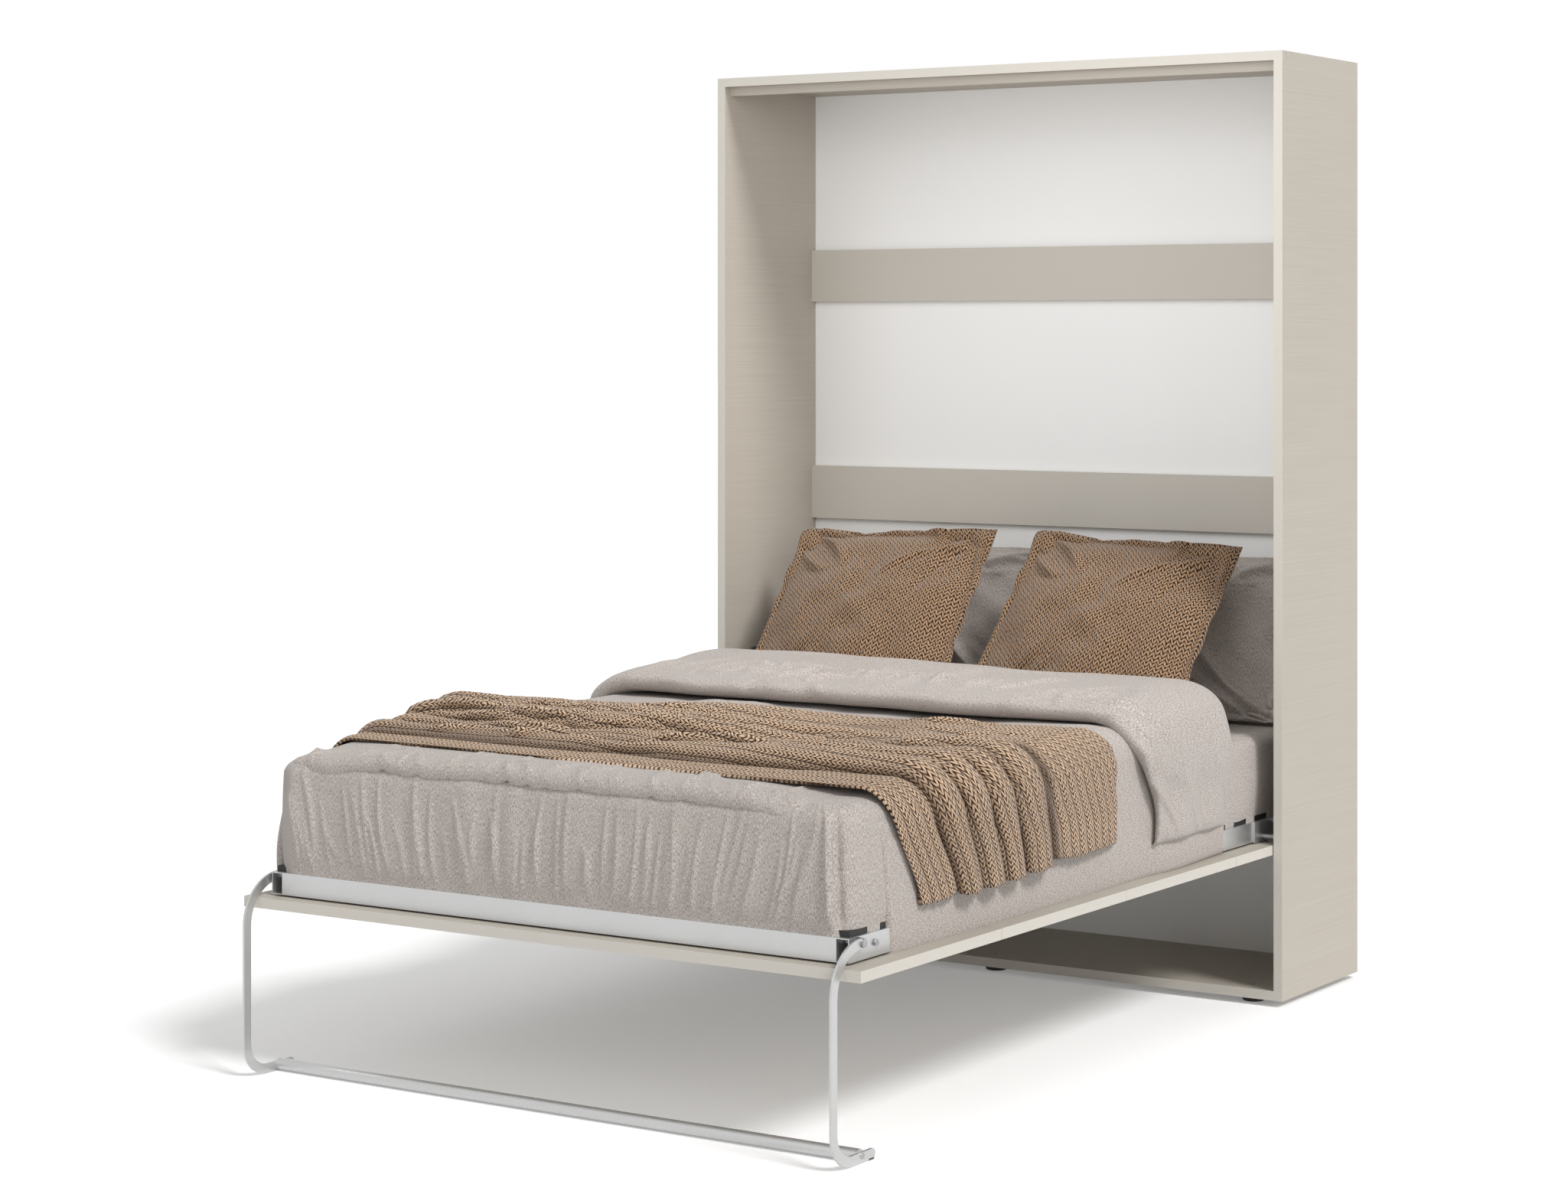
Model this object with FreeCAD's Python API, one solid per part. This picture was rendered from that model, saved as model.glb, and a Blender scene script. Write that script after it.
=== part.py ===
import FreeCAD, Part
import math
import os

# A vertical wall bed, opened: a shallow cabinet whose door carries a steel mattress frame
# and folds down about two pins near the floor, with a U-shaped leg at the foot end.
# Millimetres. X across the bed, -Y towards its foot, +Z up. The origin lies on the floor,
# under the middle of the opened bed's outer box. Local y = 0 is the cabinet's front plane.

V = FreeCAD.Vector
AXIS_X = V(1, 0, 0)
AXIS_Y = V(0, 1, 0)
AXIS_Z = V(0, 0, 1)
SIDES = (("left", -1), ("right", 1))
QUARTER = math.pi / 2

# The mattress, which the frame, the door and the cabinet are sized around
mattress_width = 1400.0
mattress_length = 2000.0
mattress_height = 180.0
mattress_edge = 28.0
mattress_gap = 0.3
mattress_setback = 55.0
mattress_past_pivot = 269.5

# Cabinet boards
cabinet_depth = 422.0
board = 22.0
back_sheet = 3.0
back_sheet_inset = 2.0
sheet_joint = 1.0
rail_thickness = 18.0
upper_rail_height = 136.0
upper_rail_base = 1615.0
lower_rail_height = 138.0
lower_rail_base = 1044.0
batten_height = 22.0
batten_thickness = 18.0
batten_play = 1.5

# Levelling feet, which stand in threaded sleeves in the bottom panel
foot_height = 15.0
foot_radius = 26.0
foot_edge = 2.0
foot_inset_x = 99.0
foot_front_y = 55.0
foot_rear_y = 358.0
foot_stem_radius = 5.0
foot_stem_grip = 9.0
foot_travel = 10.0
sleeve_wall = 2.5

# Cabinet fasteners
screw_radius = 3.5
screw_head_radius = 5.0
screw_head_height = 3.0
screw_length = 50.0
screw_inset = 60.0
dowel_radius = 4.0
dowel_reach = 14.0
dowel_spread = 80.0
bracket_width = 60.0
bracket_depth = 40.0
bracket_rise = 24.0
bracket_sheet = 2.5
bracket_hole_radius = 3.5
bracket_hole_spacing = 36.0
bracket_hole_rise_share = 0.58
bracket_inset = 260.0

# Door, which is the underside of the opened bed
door_underside = 334.0
door_side_gap = 2.5
door_top_gap = 3.0
door_floor_gap = 6.0
door_joint = 1.0
door_board_lengths = (515.0, 522.0, 524.0)

# Steel mattress frame on the door
frame_side_room = 18.0
frame_foot_room = 22.0
frame_gap = 4.0
spring_room = 50.0
tube_width = 30.0
tube_height = 46.0
tube_wall = 2.0
cross_tube_height = 30.0
cross_tube_width = 20.0
cross_tube_count = 3
spacer_radius = 9.0
fixing_radius = 3.0
fixing_head_radius = 5.5
fixing_head_height = 3.5
fixing_depth = 14.0
fixing_inset = 70.0

# Sprung slats and their holders
slat_count = 19
slat_width = 58.0
slat_thickness = 8.0
slat_end_gap = 8.0
slat_first = 42.0
holder_wall = 2.0
holder_length = 40.0

# Folding pivot of the bed
pin_radius = 7.0
pin_rise = 9.5
pin_plate = 5.0
pin_plate_front = 40.0
pin_plate_rear = 92.0
pin_plate_drop = 2.0
bush_radius = 12.0
bush_seat_depth = 14.0
running_clearance = 0.05
bearing_plate = 4.0
bearing_plate_width = 60.0
bearing_plate_height = 90.0
pin_end_play = 2.0

# Gas springs in the gaps beside the frame
stud_radius = 4.0
stud_back = 60.0
stud_up = 30.0
spring_gap = 17.0
spring_eye_width = 12.0
spring_eye_radius = 9.0
spring_upper_y = 140.0
spring_upper_z = 700.0
spring_body_radius = 9.0
spring_body_wall = 1.5
spring_body_length = 190.0
spring_rod_radius = 4.0
spring_rod_length = 226.0
spring_end_cap = 8.0
gland_clearance = 0.4
spring_bracket_plate = 3.0
spring_bracket_size = 50.0
stud_head_radius = 7.0
stud_head_height = 3.0
open_pivot_gap = 0.5

# U-shaped leg
leg_pivot_setback = 65.0
leg_pivot_rise = 35.0
leg_bar_width = 20.0
leg_bar_thickness = 5.0
leg_bush = 6.0
leg_bush_radius = 10.0
leg_bolt_radius = 5.0
leg_bolt_head_radius = 8.5
leg_bolt_head_height = 4.0
leg_reach = 98.0
leg_elbow_radius = 94.0
leg_ankle_radius = 60.0
leg_toe = 42.0
leg_floor_gap = 1.0
leg_side_clearance = 0.3
pad_length = 18.0
pad_height = 4.0
pad_from_toe = 4.0
foot_bar_radius = 12.5
foot_bar_wall = 1.5
foot_bar_forward = 3.0
foot_bar_rise = 0.5
foot_screw_radius = 4.0
foot_screw_head_radius = 6.0
foot_screw_head_height = 1.5
foot_screw_depth = 14.0
side_stud_back = 59.0
side_stud_drop = 9.0
side_stud_radius = 4.0
side_stud_head_radius = 6.5
side_stud_length = 5.4
side_stud_head_height = 2.0

# Bedding
cloth_clearance = 0.3
duvet_thickness = 66.0
duvet_edge = 45.0
duvet_head_y = -160.0
duvet_side = 13.0
duvet_foot = 16.0
duvet_foot_fold = 7.0
duvet_foot_fold_count = 14
duvet_corner = 160.0
drop_clearance = 3.0
drop_thickness = 13.0
duvet_fold = 9.0
duvet_hem_rise = 8.0
duvet_fold_count = 9
turnback_front_y = -600.0
turnback_back_y = -150.0
turnback_lip = 66.0
turnback_nose = 28.0
turnback_crest = 96.0
turnback_shoulder = 58.0
turnback_hem = 462.0
turnback_drop_front_y = -530.0
turnback_drop_back_y = -210.0
turnback_drop = 8.0
turnback_fold_count = 3
throw_left_shares = (0.154, 0.648)
throw_right_shares = (0.098, 0.927)
throw_thickness = 8.0
throw_left_ridge = 34.0
throw_right_ridge = 13.0
throw_ridge_count = 7
throw_hem = 468.0
throw_fold_count = 8
throw_fold = 13.0
pillow_side_inset = 2.0
pillow_middle_gap = 22.0
pillow_height = 425.0
pillow_thickness = 215.0
pillow_drawn = 20.0
pillow_lean = 34.0
cushion_side_inset = 82.0
cushion_middle_gap = 66.0
cushion_height = 532.0
cushion_thickness = 135.0
cushion_drawn = 22.0
cushion_lean = 34.0
cushion_shift = 12.0
crown_depth_shares = (0.0, 0.52, 0.83, 0.96, 1.0)
crown_spread_shares = (1.0, 0.86, 0.62, 0.35, 0.1)

# Levels and lines worked out from the sizes above
mattress_half = mattress_width / 2
frame_half = mattress_half + frame_side_room
inner_half = frame_half + spring_room
half_width = inner_half + board
panel_back_y = cabinet_depth - back_sheet
base_z = foot_height
side_low_z = base_z + board
rail_front_y = panel_back_y - rail_thickness
door_half = inner_half - door_side_gap
door_low_z = base_z + door_underside
door_high_z = door_low_z + board
tube_low_z = door_high_z + frame_gap
tube_high_z = tube_low_z + tube_height
pivot_z = tube_low_z + pin_rise
pivot_y = board + frame_gap + pin_rise
mattress_head_y = pivot_y + mattress_past_pivot
mattress_foot_y = mattress_head_y - mattress_length
door_foot_y = mattress_foot_y - mattress_setback
door_closed_top_z = pivot_z + (pivot_y - door_foot_y)
side_high_z = door_closed_top_z + door_top_gap
top_z = side_high_z + board
door_head_y = pivot_y + (pivot_z - side_low_z - door_floor_gap)
frame_foot_y = mattress_foot_y - frame_foot_room
frame_head_y = mattress_head_y
leg_pivot_y = door_foot_y + leg_pivot_setback
leg_pivot_z = tube_low_z + leg_pivot_rise
leg_front_y = leg_pivot_y - leg_reach - leg_bar_width / 2
leg_inner_x = frame_half + leg_bush
leg_outer_x = leg_inner_x + leg_bar_thickness
slat_low_z = tube_high_z + holder_wall
slat_high_z = slat_low_z + slat_thickness
mattress_low_z = slat_high_z + holder_wall + mattress_gap
mattress_high_z = mattress_low_z + mattress_height
origin_y = (leg_front_y + cabinet_depth) / 2

parts = {}


def add(node, shape):
    """Keep a node's solids, moved from local y to the part's origin."""
    moved = shape.copy()
    moved.translate(V(0, -origin_y, 0))
    parts[node] = moved


def block(x0, x1, y0, y1, z0, z1):
    low = V(min(x0, x1), min(y0, y1), min(z0, z1))
    return Part.makeBox(abs(x1 - x0), abs(y1 - y0), abs(z1 - z0), low)


def rod(start, end, radius):
    run = end.sub(start)
    return Part.makeCylinder(radius, run.Length, start, run)


def rod_x(x0, x1, y, z, radius):
    return rod(V(x0, y, z), V(x1, y, z), radius)


def rod_z(x, y, z0, z1, radius):
    return rod(V(x, y, z0), V(x, y, z1), radius)


def group(solids):
    """One node of separate solids."""
    return Part.makeCompound(solids)


def spread(first, last, count):
    step = (last - first) / (count - 1)
    return [first + step * i for i in range(count)]


def face_of(edges):
    return Part.Face(Part.Wire(edges))


def line(a, b):
    return Part.LineSegment(a, b).toShape()


def arc(a, middle, b):
    return Part.Arc(a, middle, b).toShape()


# Cabinet fasteners first, because the boards are drilled for them
screw_ys = spread(screw_inset, panel_back_y - screw_inset, 3)
cabinet_screws = []
for name, side in SIDES:
    screw_x = side * (half_width - board / 2)
    for screw_y in screw_ys:
        down = rod_z(screw_x, screw_y, top_z, top_z - screw_length, screw_radius)
        head = rod_z(screw_x, screw_y, top_z, top_z - screw_head_height, screw_head_radius)
        cabinet_screws.append(down.fuse(head).removeSplitter())
        up = rod_z(screw_x, screw_y, base_z, base_z + screw_length, screw_radius)
        head = rod_z(screw_x, screw_y, base_z, base_z + screw_head_height, screw_head_radius)
        cabinet_screws.append(up.fuse(head).removeSplitter())

rail_spans = {
    "upper_back_rail": (base_z + upper_rail_base, upper_rail_height),
    "lower_back_rail": (base_z + lower_rail_base, lower_rail_height),
}
rail_middle_y = rail_front_y + rail_thickness / 2
rail_dowels = []
for name, side in SIDES:
    for rail_z, rail_height in rail_spans.values():
        middle_z = rail_z + rail_height / 2
        for dowel_z in (middle_z - dowel_spread / 2, middle_z + dowel_spread / 2):
            inner = side * (inner_half - dowel_reach)
            outer = side * (inner_half + dowel_reach)
            rail_dowels.append(rod_x(inner, outer, rail_middle_y, dowel_z, dowel_radius))

# Folding pivot: bushes sit in the side panels behind recessed steel plates
bush_outer_x = inner_half + bearing_plate + bush_seat_depth
bush_seats = []
plate_pockets = []
bearing_plates = []
pivot_bushes = []
for name, side in SIDES:
    plate = block(side * inner_half, side * (inner_half + bearing_plate),
                  pivot_y - bearing_plate_width / 2, pivot_y + bearing_plate_width / 2,
                  pivot_z - bearing_plate_height / 2, pivot_z + bearing_plate_height / 2)
    plate_pockets.append(plate)
    seat = rod_x(side * (inner_half + bearing_plate), side * bush_outer_x, pivot_y, pivot_z, bush_radius)
    bush_seats.append(seat)
    plate_hole = rod_x(side * inner_half, side * (inner_half + bearing_plate), pivot_y, pivot_z,
                       bush_radius)
    pin_bore = rod_x(side * inner_half, side * bush_outer_x, pivot_y, pivot_z,
                     pin_radius + running_clearance)
    bearing_plates.append(plate.cut(plate_hole))
    bush = rod_x(side * inner_half, side * bush_outer_x, pivot_y, pivot_z, bush_radius)
    pivot_bushes.append(bush.cut(pin_bore))
add("bearing_plates", group(bearing_plates))
add("pivot_bushes", group(pivot_bushes))

# Side panels stand on the bottom panel and carry the top panel
for index, (name, side) in enumerate(SIDES):
    panel = block(side * inner_half, side * half_width, 0, panel_back_y, side_low_z, side_high_z)
    panel = panel.cut(plate_pockets[index]).cut(bush_seats[index])
    for fixing in cabinet_screws + rail_dowels:
        if fixing.BoundBox.Center.x * side > 0:
            panel = panel.cut(fixing)
    add("side_panel_" + name, panel)

top_panel = block(-half_width, half_width, 0, panel_back_y, side_high_z, top_z)
bottom_panel = block(-half_width, half_width, 0, panel_back_y, base_z, side_low_z)
for fixing in cabinet_screws:
    top_panel = top_panel.cut(fixing)
    bottom_panel = bottom_panel.cut(fixing)

foot_xs = (-(half_width - foot_inset_x), 0.0, half_width - foot_inset_x)
foot_rows = (("front", foot_front_y), ("rear", foot_rear_y))
foot_columns = tuple(zip(("left", "middle", "right"), foot_xs))
sleeve_radius = foot_stem_radius + sleeve_wall
sleeves = []
for row, foot_y in foot_rows:
    for column, foot_x in foot_columns:
        bottom_panel = bottom_panel.cut(rod_z(foot_x, foot_y, base_z, side_low_z, sleeve_radius))
        sleeve = rod_z(foot_x, foot_y, base_z, side_low_z, sleeve_radius)
        sleeve = sleeve.cut(rod_z(foot_x, foot_y, base_z, side_low_z, foot_stem_radius + running_clearance))
        sleeves.append(sleeve)
        disc = rod_z(foot_x, foot_y, 0, base_z - running_clearance * 2, foot_radius)
        rims = [edge for edge in disc.Edges if edge.Length > foot_radius]
        disc = disc.makeChamfer(foot_edge, [edge for edge in rims if edge.BoundBox.ZMin < foot_edge])
        stem_top = base_z + foot_stem_grip + foot_travel
        stem = rod_z(foot_x, foot_y, base_z / 2, stem_top, foot_stem_radius)
        add("foot_" + row + "_" + column, disc.fuse(stem).removeSplitter())
add("foot_sleeves", group(sleeves))
add("top_panel", top_panel)
add("bottom_panel", bottom_panel)
add("cabinet_screws", group(cabinet_screws))
add("rail_dowels", group(rail_dowels))

batten_front_y = board + batten_play
add("top_batten", block(-inner_half, inner_half, batten_front_y, batten_front_y + batten_thickness,
                        side_high_z - batten_height, side_high_z))

for name, (rail_z, rail_height) in rail_spans.items():
    rail = block(-inner_half, inner_half, rail_front_y, panel_back_y, rail_z, rail_z + rail_height)
    for dowel in rail_dowels:
        rail = rail.cut(dowel)
    add(name, rail)

# Three thin white sheets close the back, jointed behind the rails
upper_joint_z = base_z + upper_rail_base + upper_rail_height / 2
lower_joint_z = base_z + lower_rail_base + lower_rail_height / 2
sheet_spans = (
    ("back_sheet_lower", base_z + back_sheet_inset, lower_joint_z - sheet_joint / 2),
    ("back_sheet_middle", lower_joint_z + sheet_joint / 2, upper_joint_z - sheet_joint / 2),
    ("back_sheet_upper", upper_joint_z + sheet_joint / 2, top_z - back_sheet_inset),
)
for name, sheet_low, sheet_high in sheet_spans:
    add(name, block(-half_width + back_sheet_inset, half_width - back_sheet_inset,
                    panel_back_y, cabinet_depth, sheet_low, sheet_high))

# Steel angles on the top panel hold the cabinet to the wall
wall_brackets = []
for name, side in SIDES:
    bracket_x = side * (half_width - bracket_inset)
    x0 = bracket_x - bracket_width / 2
    x1 = bracket_x + bracket_width / 2
    flat = block(x0, x1, cabinet_depth - bracket_depth, cabinet_depth, top_z, top_z + bracket_sheet)
    wall_leg = block(x0, x1, cabinet_depth - bracket_sheet, cabinet_depth, top_z, top_z + bracket_rise)
    bracket = flat.fuse(wall_leg).removeSplitter()
    for hole_side in (-1, 1):
        hole_x = bracket_x + hole_side * bracket_hole_spacing / 2
        hole_z = top_z + bracket_rise * bracket_hole_rise_share
        hole = rod(V(hole_x, cabinet_depth - bracket_sheet, hole_z), V(hole_x, cabinet_depth, hole_z),
                   bracket_hole_radius)
        bracket = bracket.cut(hole)
        screw_hole = rod_z(hole_x, cabinet_depth - bracket_depth / 2, top_z, top_z + bracket_sheet,
                           bracket_hole_radius)
        bracket = bracket.cut(screw_hole)
    wall_brackets.append(bracket)
add("wall_brackets", group(wall_brackets))

# Door boards lie across the bed, screwed up into the frame through spacers
board_edges = [door_foot_y]
for length in door_board_lengths:
    board_edges.append(board_edges[-1] + length)
board_edges.append(door_head_y)
fixing_x = frame_half - tube_width / 2
door_fixings = []
spacers = []
fixing_spots = []
for foot_edge_y, head_edge_y in zip(board_edges[:-1], board_edges[1:]):
    for side in (-1, 1):
        low_y = max(foot_edge_y, frame_foot_y) + fixing_inset
        high_y = min(head_edge_y, frame_head_y) - fixing_inset
        for spot_y in (low_y, high_y):
            fixing_spots.append((side * fixing_x, spot_y))
tube_floor_z = tube_low_z + tube_wall
for spot_x, spot_y in fixing_spots:
    shank = rod_z(spot_x, spot_y, door_high_z - fixing_depth, tube_floor_z, fixing_radius)
    head = rod_z(spot_x, spot_y, tube_floor_z, tube_floor_z + fixing_head_height, fixing_head_radius)
    door_fixings.append(shank.fuse(head).removeSplitter())
    ring = rod_z(spot_x, spot_y, door_high_z, tube_low_z, spacer_radius)
    spacers.append(ring.cut(rod_z(spot_x, spot_y, door_high_z, tube_low_z, fixing_radius)))
for index, (foot_edge_y, head_edge_y) in enumerate(zip(board_edges[:-1], board_edges[1:])):
    start_y = foot_edge_y if index == 0 else foot_edge_y + door_joint
    door_board = block(-door_half, door_half, start_y, head_edge_y, door_low_z, door_high_z)
    for fixing in door_fixings:
        if start_y < fixing.BoundBox.Center.y < head_edge_y:
            door_board = door_board.cut(fixing)
    add("door_board_" + str(index + 1), door_board)
add("door_fixings", group(door_fixings))
add("frame_spacers", group(spacers))

# Pivot plates, pins and gas spring studs on the frame's side tubes
plate_outer_x = frame_half + pin_plate
pin_end_x = bush_outer_x - pin_end_play
stud_y = pivot_y + stud_back
stud_z = pivot_z + stud_up
eye_near_x = plate_outer_x + spring_gap
eye_far_x = eye_near_x + spring_eye_width
pivot_plates = []
pivot_pins = []
spring_studs = []
for name, side in SIDES:
    plate = block(side * frame_half, side * plate_outer_x, pivot_y - pin_plate_front,
                  pivot_y + pin_plate_rear, tube_low_z - pin_plate_drop, tube_high_z)
    plate = plate.cut(rod_x(side * frame_half, side * plate_outer_x, pivot_y, pivot_z, pin_radius))
    pivot_plates.append(plate)
    pivot_pins.append(rod_x(side * frame_half, side * pin_end_x, pivot_y, pivot_z, pin_radius))
    shank = rod_x(side * plate_outer_x, side * (eye_near_x - open_pivot_gap), stud_y, stud_z, stud_radius)
    collar = rod_x(side * plate_outer_x, side * (plate_outer_x + stud_head_height), stud_y, stud_z,
                   stud_head_radius)
    spring_studs.append(shank.fuse(collar).removeSplitter())
add("pivot_plates", group(pivot_plates))
add("pivot_pins", group(pivot_pins))
add("spring_studs", group(spring_studs))


def tube_along_y(x0, x1, y0, y1, z0, z1):
    """A rectangular hollow section with open ends, along Y."""
    outer = block(x0, x1, y0, y1, z0, z1)
    inner = block(min(x0, x1) + tube_wall, max(x0, x1) - tube_wall, y0, y1, z0 + tube_wall, z1 - tube_wall)
    return outer.cut(inner)


def tube_along_x(x0, x1, y0, y1, z0, z1):
    """A rectangular hollow section with open ends, along X."""
    outer = block(x0, x1, y0, y1, z0, z1)
    inner = block(x0, x1, y0 + tube_wall, y1 - tube_wall, z0 + tube_wall, z1 - tube_wall)
    return outer.cut(inner)


leg_bolt_tip_x = frame_half - tube_width + tube_wall * 2
for name, side in SIDES:
    tube = tube_along_y(side * (frame_half - tube_width), side * frame_half, frame_foot_y, frame_head_y,
                        tube_low_z, tube_high_z)
    for fixing in door_fixings:
        if fixing.BoundBox.Center.x * side > 0:
            tube = tube.cut(fixing)
    tube = tube.cut(rod_x(side * (frame_half - tube_wall), side * frame_half,
                          leg_pivot_y, leg_pivot_z, leg_bolt_radius))
    add("side_tube_" + name, tube)

beam_half = frame_half - tube_width
add("foot_beam", tube_along_x(-beam_half, beam_half, frame_foot_y, frame_foot_y + tube_width,
                              tube_low_z, tube_high_z))
add("head_beam", tube_along_x(-beam_half, beam_half, frame_head_y - tube_width, frame_head_y,
                              tube_low_z, tube_high_z))
cross_ys = spread(frame_foot_y, frame_head_y, cross_tube_count + 2)[1:-1]
cross_tubes = []
for cross_y in cross_ys:
    cross_tubes.append(tube_along_x(-beam_half, beam_half, cross_y - cross_tube_width / 2,
                                    cross_y + cross_tube_width / 2,
                                    tube_high_z - cross_tube_height - tube_wall, tube_high_z - tube_wall))
add("cross_tubes", group(cross_tubes))

# Sprung slats of bent plywood, each end in a black plastic holder on the side tube
slat_half = frame_half - slat_end_gap
slat_ys = spread(frame_foot_y + slat_first, frame_head_y - slat_first, slat_count)
slats = []
holders = []
for slat_y in slat_ys:
    slats.append(block(-slat_half, slat_half, slat_y - slat_width / 2, slat_y + slat_width / 2,
                       slat_low_z, slat_high_z))
    for side in (-1, 1):
        outer_x = side * (slat_half + holder_wall)
        inner_x = side * (slat_half - holder_length)
        shell = block(inner_x, outer_x, slat_y - slat_width / 2 - holder_wall,
                      slat_y + slat_width / 2 + holder_wall, tube_high_z, slat_high_z + holder_wall)
        pocket = block(inner_x, side * slat_half, slat_y - slat_width / 2, slat_y + slat_width / 2,
                       slat_low_z, slat_high_z)
        holders.append(shell.cut(pocket))
add("slats", group(slats))
add("slat_holders", group(holders))

# Gas springs: cylinder hinged on a bracket on the side panel, rod eye beside the frame's stud
upper_y = spring_upper_y
upper_z = base_z + spring_upper_z
spring_run = V(0, stud_y - upper_y, stud_z - upper_z)
rest_length = spring_run.Length
spring_down = V(0, spring_run.y / rest_length, spring_run.z / rest_length)
closed_run = V(0, pivot_y + stud_up - upper_y, pivot_z - stud_back - upper_z)
spring_stroke = closed_run.Length - rest_length
spring_brackets = []
for name, side in SIDES:
    spring_x = side * (eye_near_x + spring_eye_width / 2)
    top_point = V(spring_x, upper_y, upper_z)
    low_point = V(spring_x, stud_y, stud_z)
    plate = block(side * (inner_half - spring_bracket_plate), side * inner_half,
                  upper_y - spring_bracket_size / 2, upper_y + spring_bracket_size / 2,
                  upper_z - spring_bracket_size / 2, upper_z + spring_bracket_size / 2)
    stud = rod_x(side * (eye_near_x - stud_head_height - open_pivot_gap), side * inner_half,
                 upper_y, upper_z, stud_radius)
    head_far_x = eye_near_x - open_pivot_gap
    head = rod_x(side * (head_far_x - stud_head_height), side * head_far_x, upper_y, upper_z,
                 stud_head_radius)
    spring_brackets.append(plate.fuse(stud).fuse(head).removeSplitter())
    body = rod(top_point, top_point.add(spring_down * spring_body_length), spring_body_radius)
    upper_eye = rod_x(side * eye_near_x, side * eye_far_x, upper_y, upper_z, spring_eye_radius)
    neck_low = upper_z - spring_eye_radius * 2
    neck_high = upper_z + spring_eye_radius * 2
    reach = spring_body_radius * 2
    for cheek in (-1, 1):
        face_x = spring_x + cheek * spring_eye_width / 2
        body = body.cut(block(face_x, face_x + cheek * spring_body_radius, upper_y - reach, upper_y + reach,
                              neck_low, neck_high))
    body = body.fuse(upper_eye).removeSplitter()
    bore_start = top_point.add(spring_down * (spring_eye_radius * 3))
    bore_end = top_point.add(spring_down * (spring_body_length - spring_end_cap))
    body = body.cut(rod(bore_start, bore_end, spring_body_radius - spring_body_wall))
    gland_end = top_point.add(spring_down * (spring_body_length + spring_end_cap))
    body = body.cut(rod(bore_start, gland_end, spring_rod_radius + gland_clearance))
    body = body.cut(rod_x(side * eye_near_x, side * eye_far_x, upper_y, upper_z,
                          stud_radius + running_clearance))
    add("spring_cylinder_" + name, body)
    rod_top = low_point.sub(spring_down * spring_rod_length)
    plunger = rod(low_point, rod_top, spring_rod_radius)
    piston = rod(rod_top, rod_top.add(spring_down * spring_end_cap),
                 spring_body_radius - spring_body_wall - gland_clearance)
    lower_eye = rod_x(side * eye_near_x, side * eye_far_x, stud_y, stud_z, spring_eye_radius)
    add("spring_rod_" + name, plunger.fuse(piston).fuse(lower_eye).removeSplitter())
add("spring_brackets", group(spring_brackets))


def leg_plate(x0, x1):
    """A flat bar bent edgewise: arm, elbow, upright, ankle and a rounded toe."""
    half = leg_bar_width / 2
    centre_z = leg_floor_gap + half
    front_y = leg_pivot_y - leg_reach
    elbow = V(x0, front_y + leg_elbow_radius, leg_pivot_z - leg_elbow_radius)
    ankle = V(x0, front_y + leg_ankle_radius, centre_z + leg_ankle_radius)
    toe_y = leg_pivot_y + leg_toe - half

    def at(y, z):
        return V(x0, y, z)

    def bend(centre, radius, middle_angle):
        return at(centre.y + radius * math.cos(middle_angle), centre.z + radius * math.sin(middle_angle))

    outer = leg_elbow_radius + half
    inner = leg_elbow_radius - half
    ankle_outer = leg_ankle_radius + half
    ankle_inner = leg_ankle_radius - half
    upper_left = QUARTER + QUARTER / 2
    lower_left = QUARTER * 2 + QUARTER / 2
    edges = [
        arc(at(leg_pivot_y, leg_pivot_z - half), at(leg_pivot_y + half, leg_pivot_z),
            at(leg_pivot_y, leg_pivot_z + half)),
        line(at(leg_pivot_y, leg_pivot_z + half), at(elbow.y, elbow.z + outer)),
        arc(at(elbow.y, elbow.z + outer), bend(elbow, outer, upper_left), at(elbow.y - outer, elbow.z)),
        line(at(elbow.y - outer, elbow.z), at(ankle.y - ankle_outer, ankle.z)),
        arc(at(ankle.y - ankle_outer, ankle.z), bend(ankle, ankle_outer, lower_left),
            at(ankle.y, ankle.z - ankle_outer)),
        line(at(ankle.y, ankle.z - ankle_outer), at(toe_y, centre_z - half)),
        arc(at(toe_y, centre_z - half), at(toe_y + half, centre_z), at(toe_y, centre_z + half)),
        line(at(toe_y, centre_z + half), at(ankle.y, ankle.z - ankle_inner)),
        arc(at(ankle.y, ankle.z - ankle_inner), bend(ankle, ankle_inner, lower_left),
            at(ankle.y - ankle_inner, ankle.z)),
        line(at(ankle.y - ankle_inner, ankle.z), at(elbow.y - inner, elbow.z)),
        arc(at(elbow.y - inner, elbow.z), bend(elbow, inner, upper_left), at(elbow.y, elbow.z + inner)),
        line(at(elbow.y, elbow.z + inner), at(leg_pivot_y, leg_pivot_z - half)),
    ]
    return face_of(edges).extrude(V(x1 - x0, 0, 0))


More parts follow.
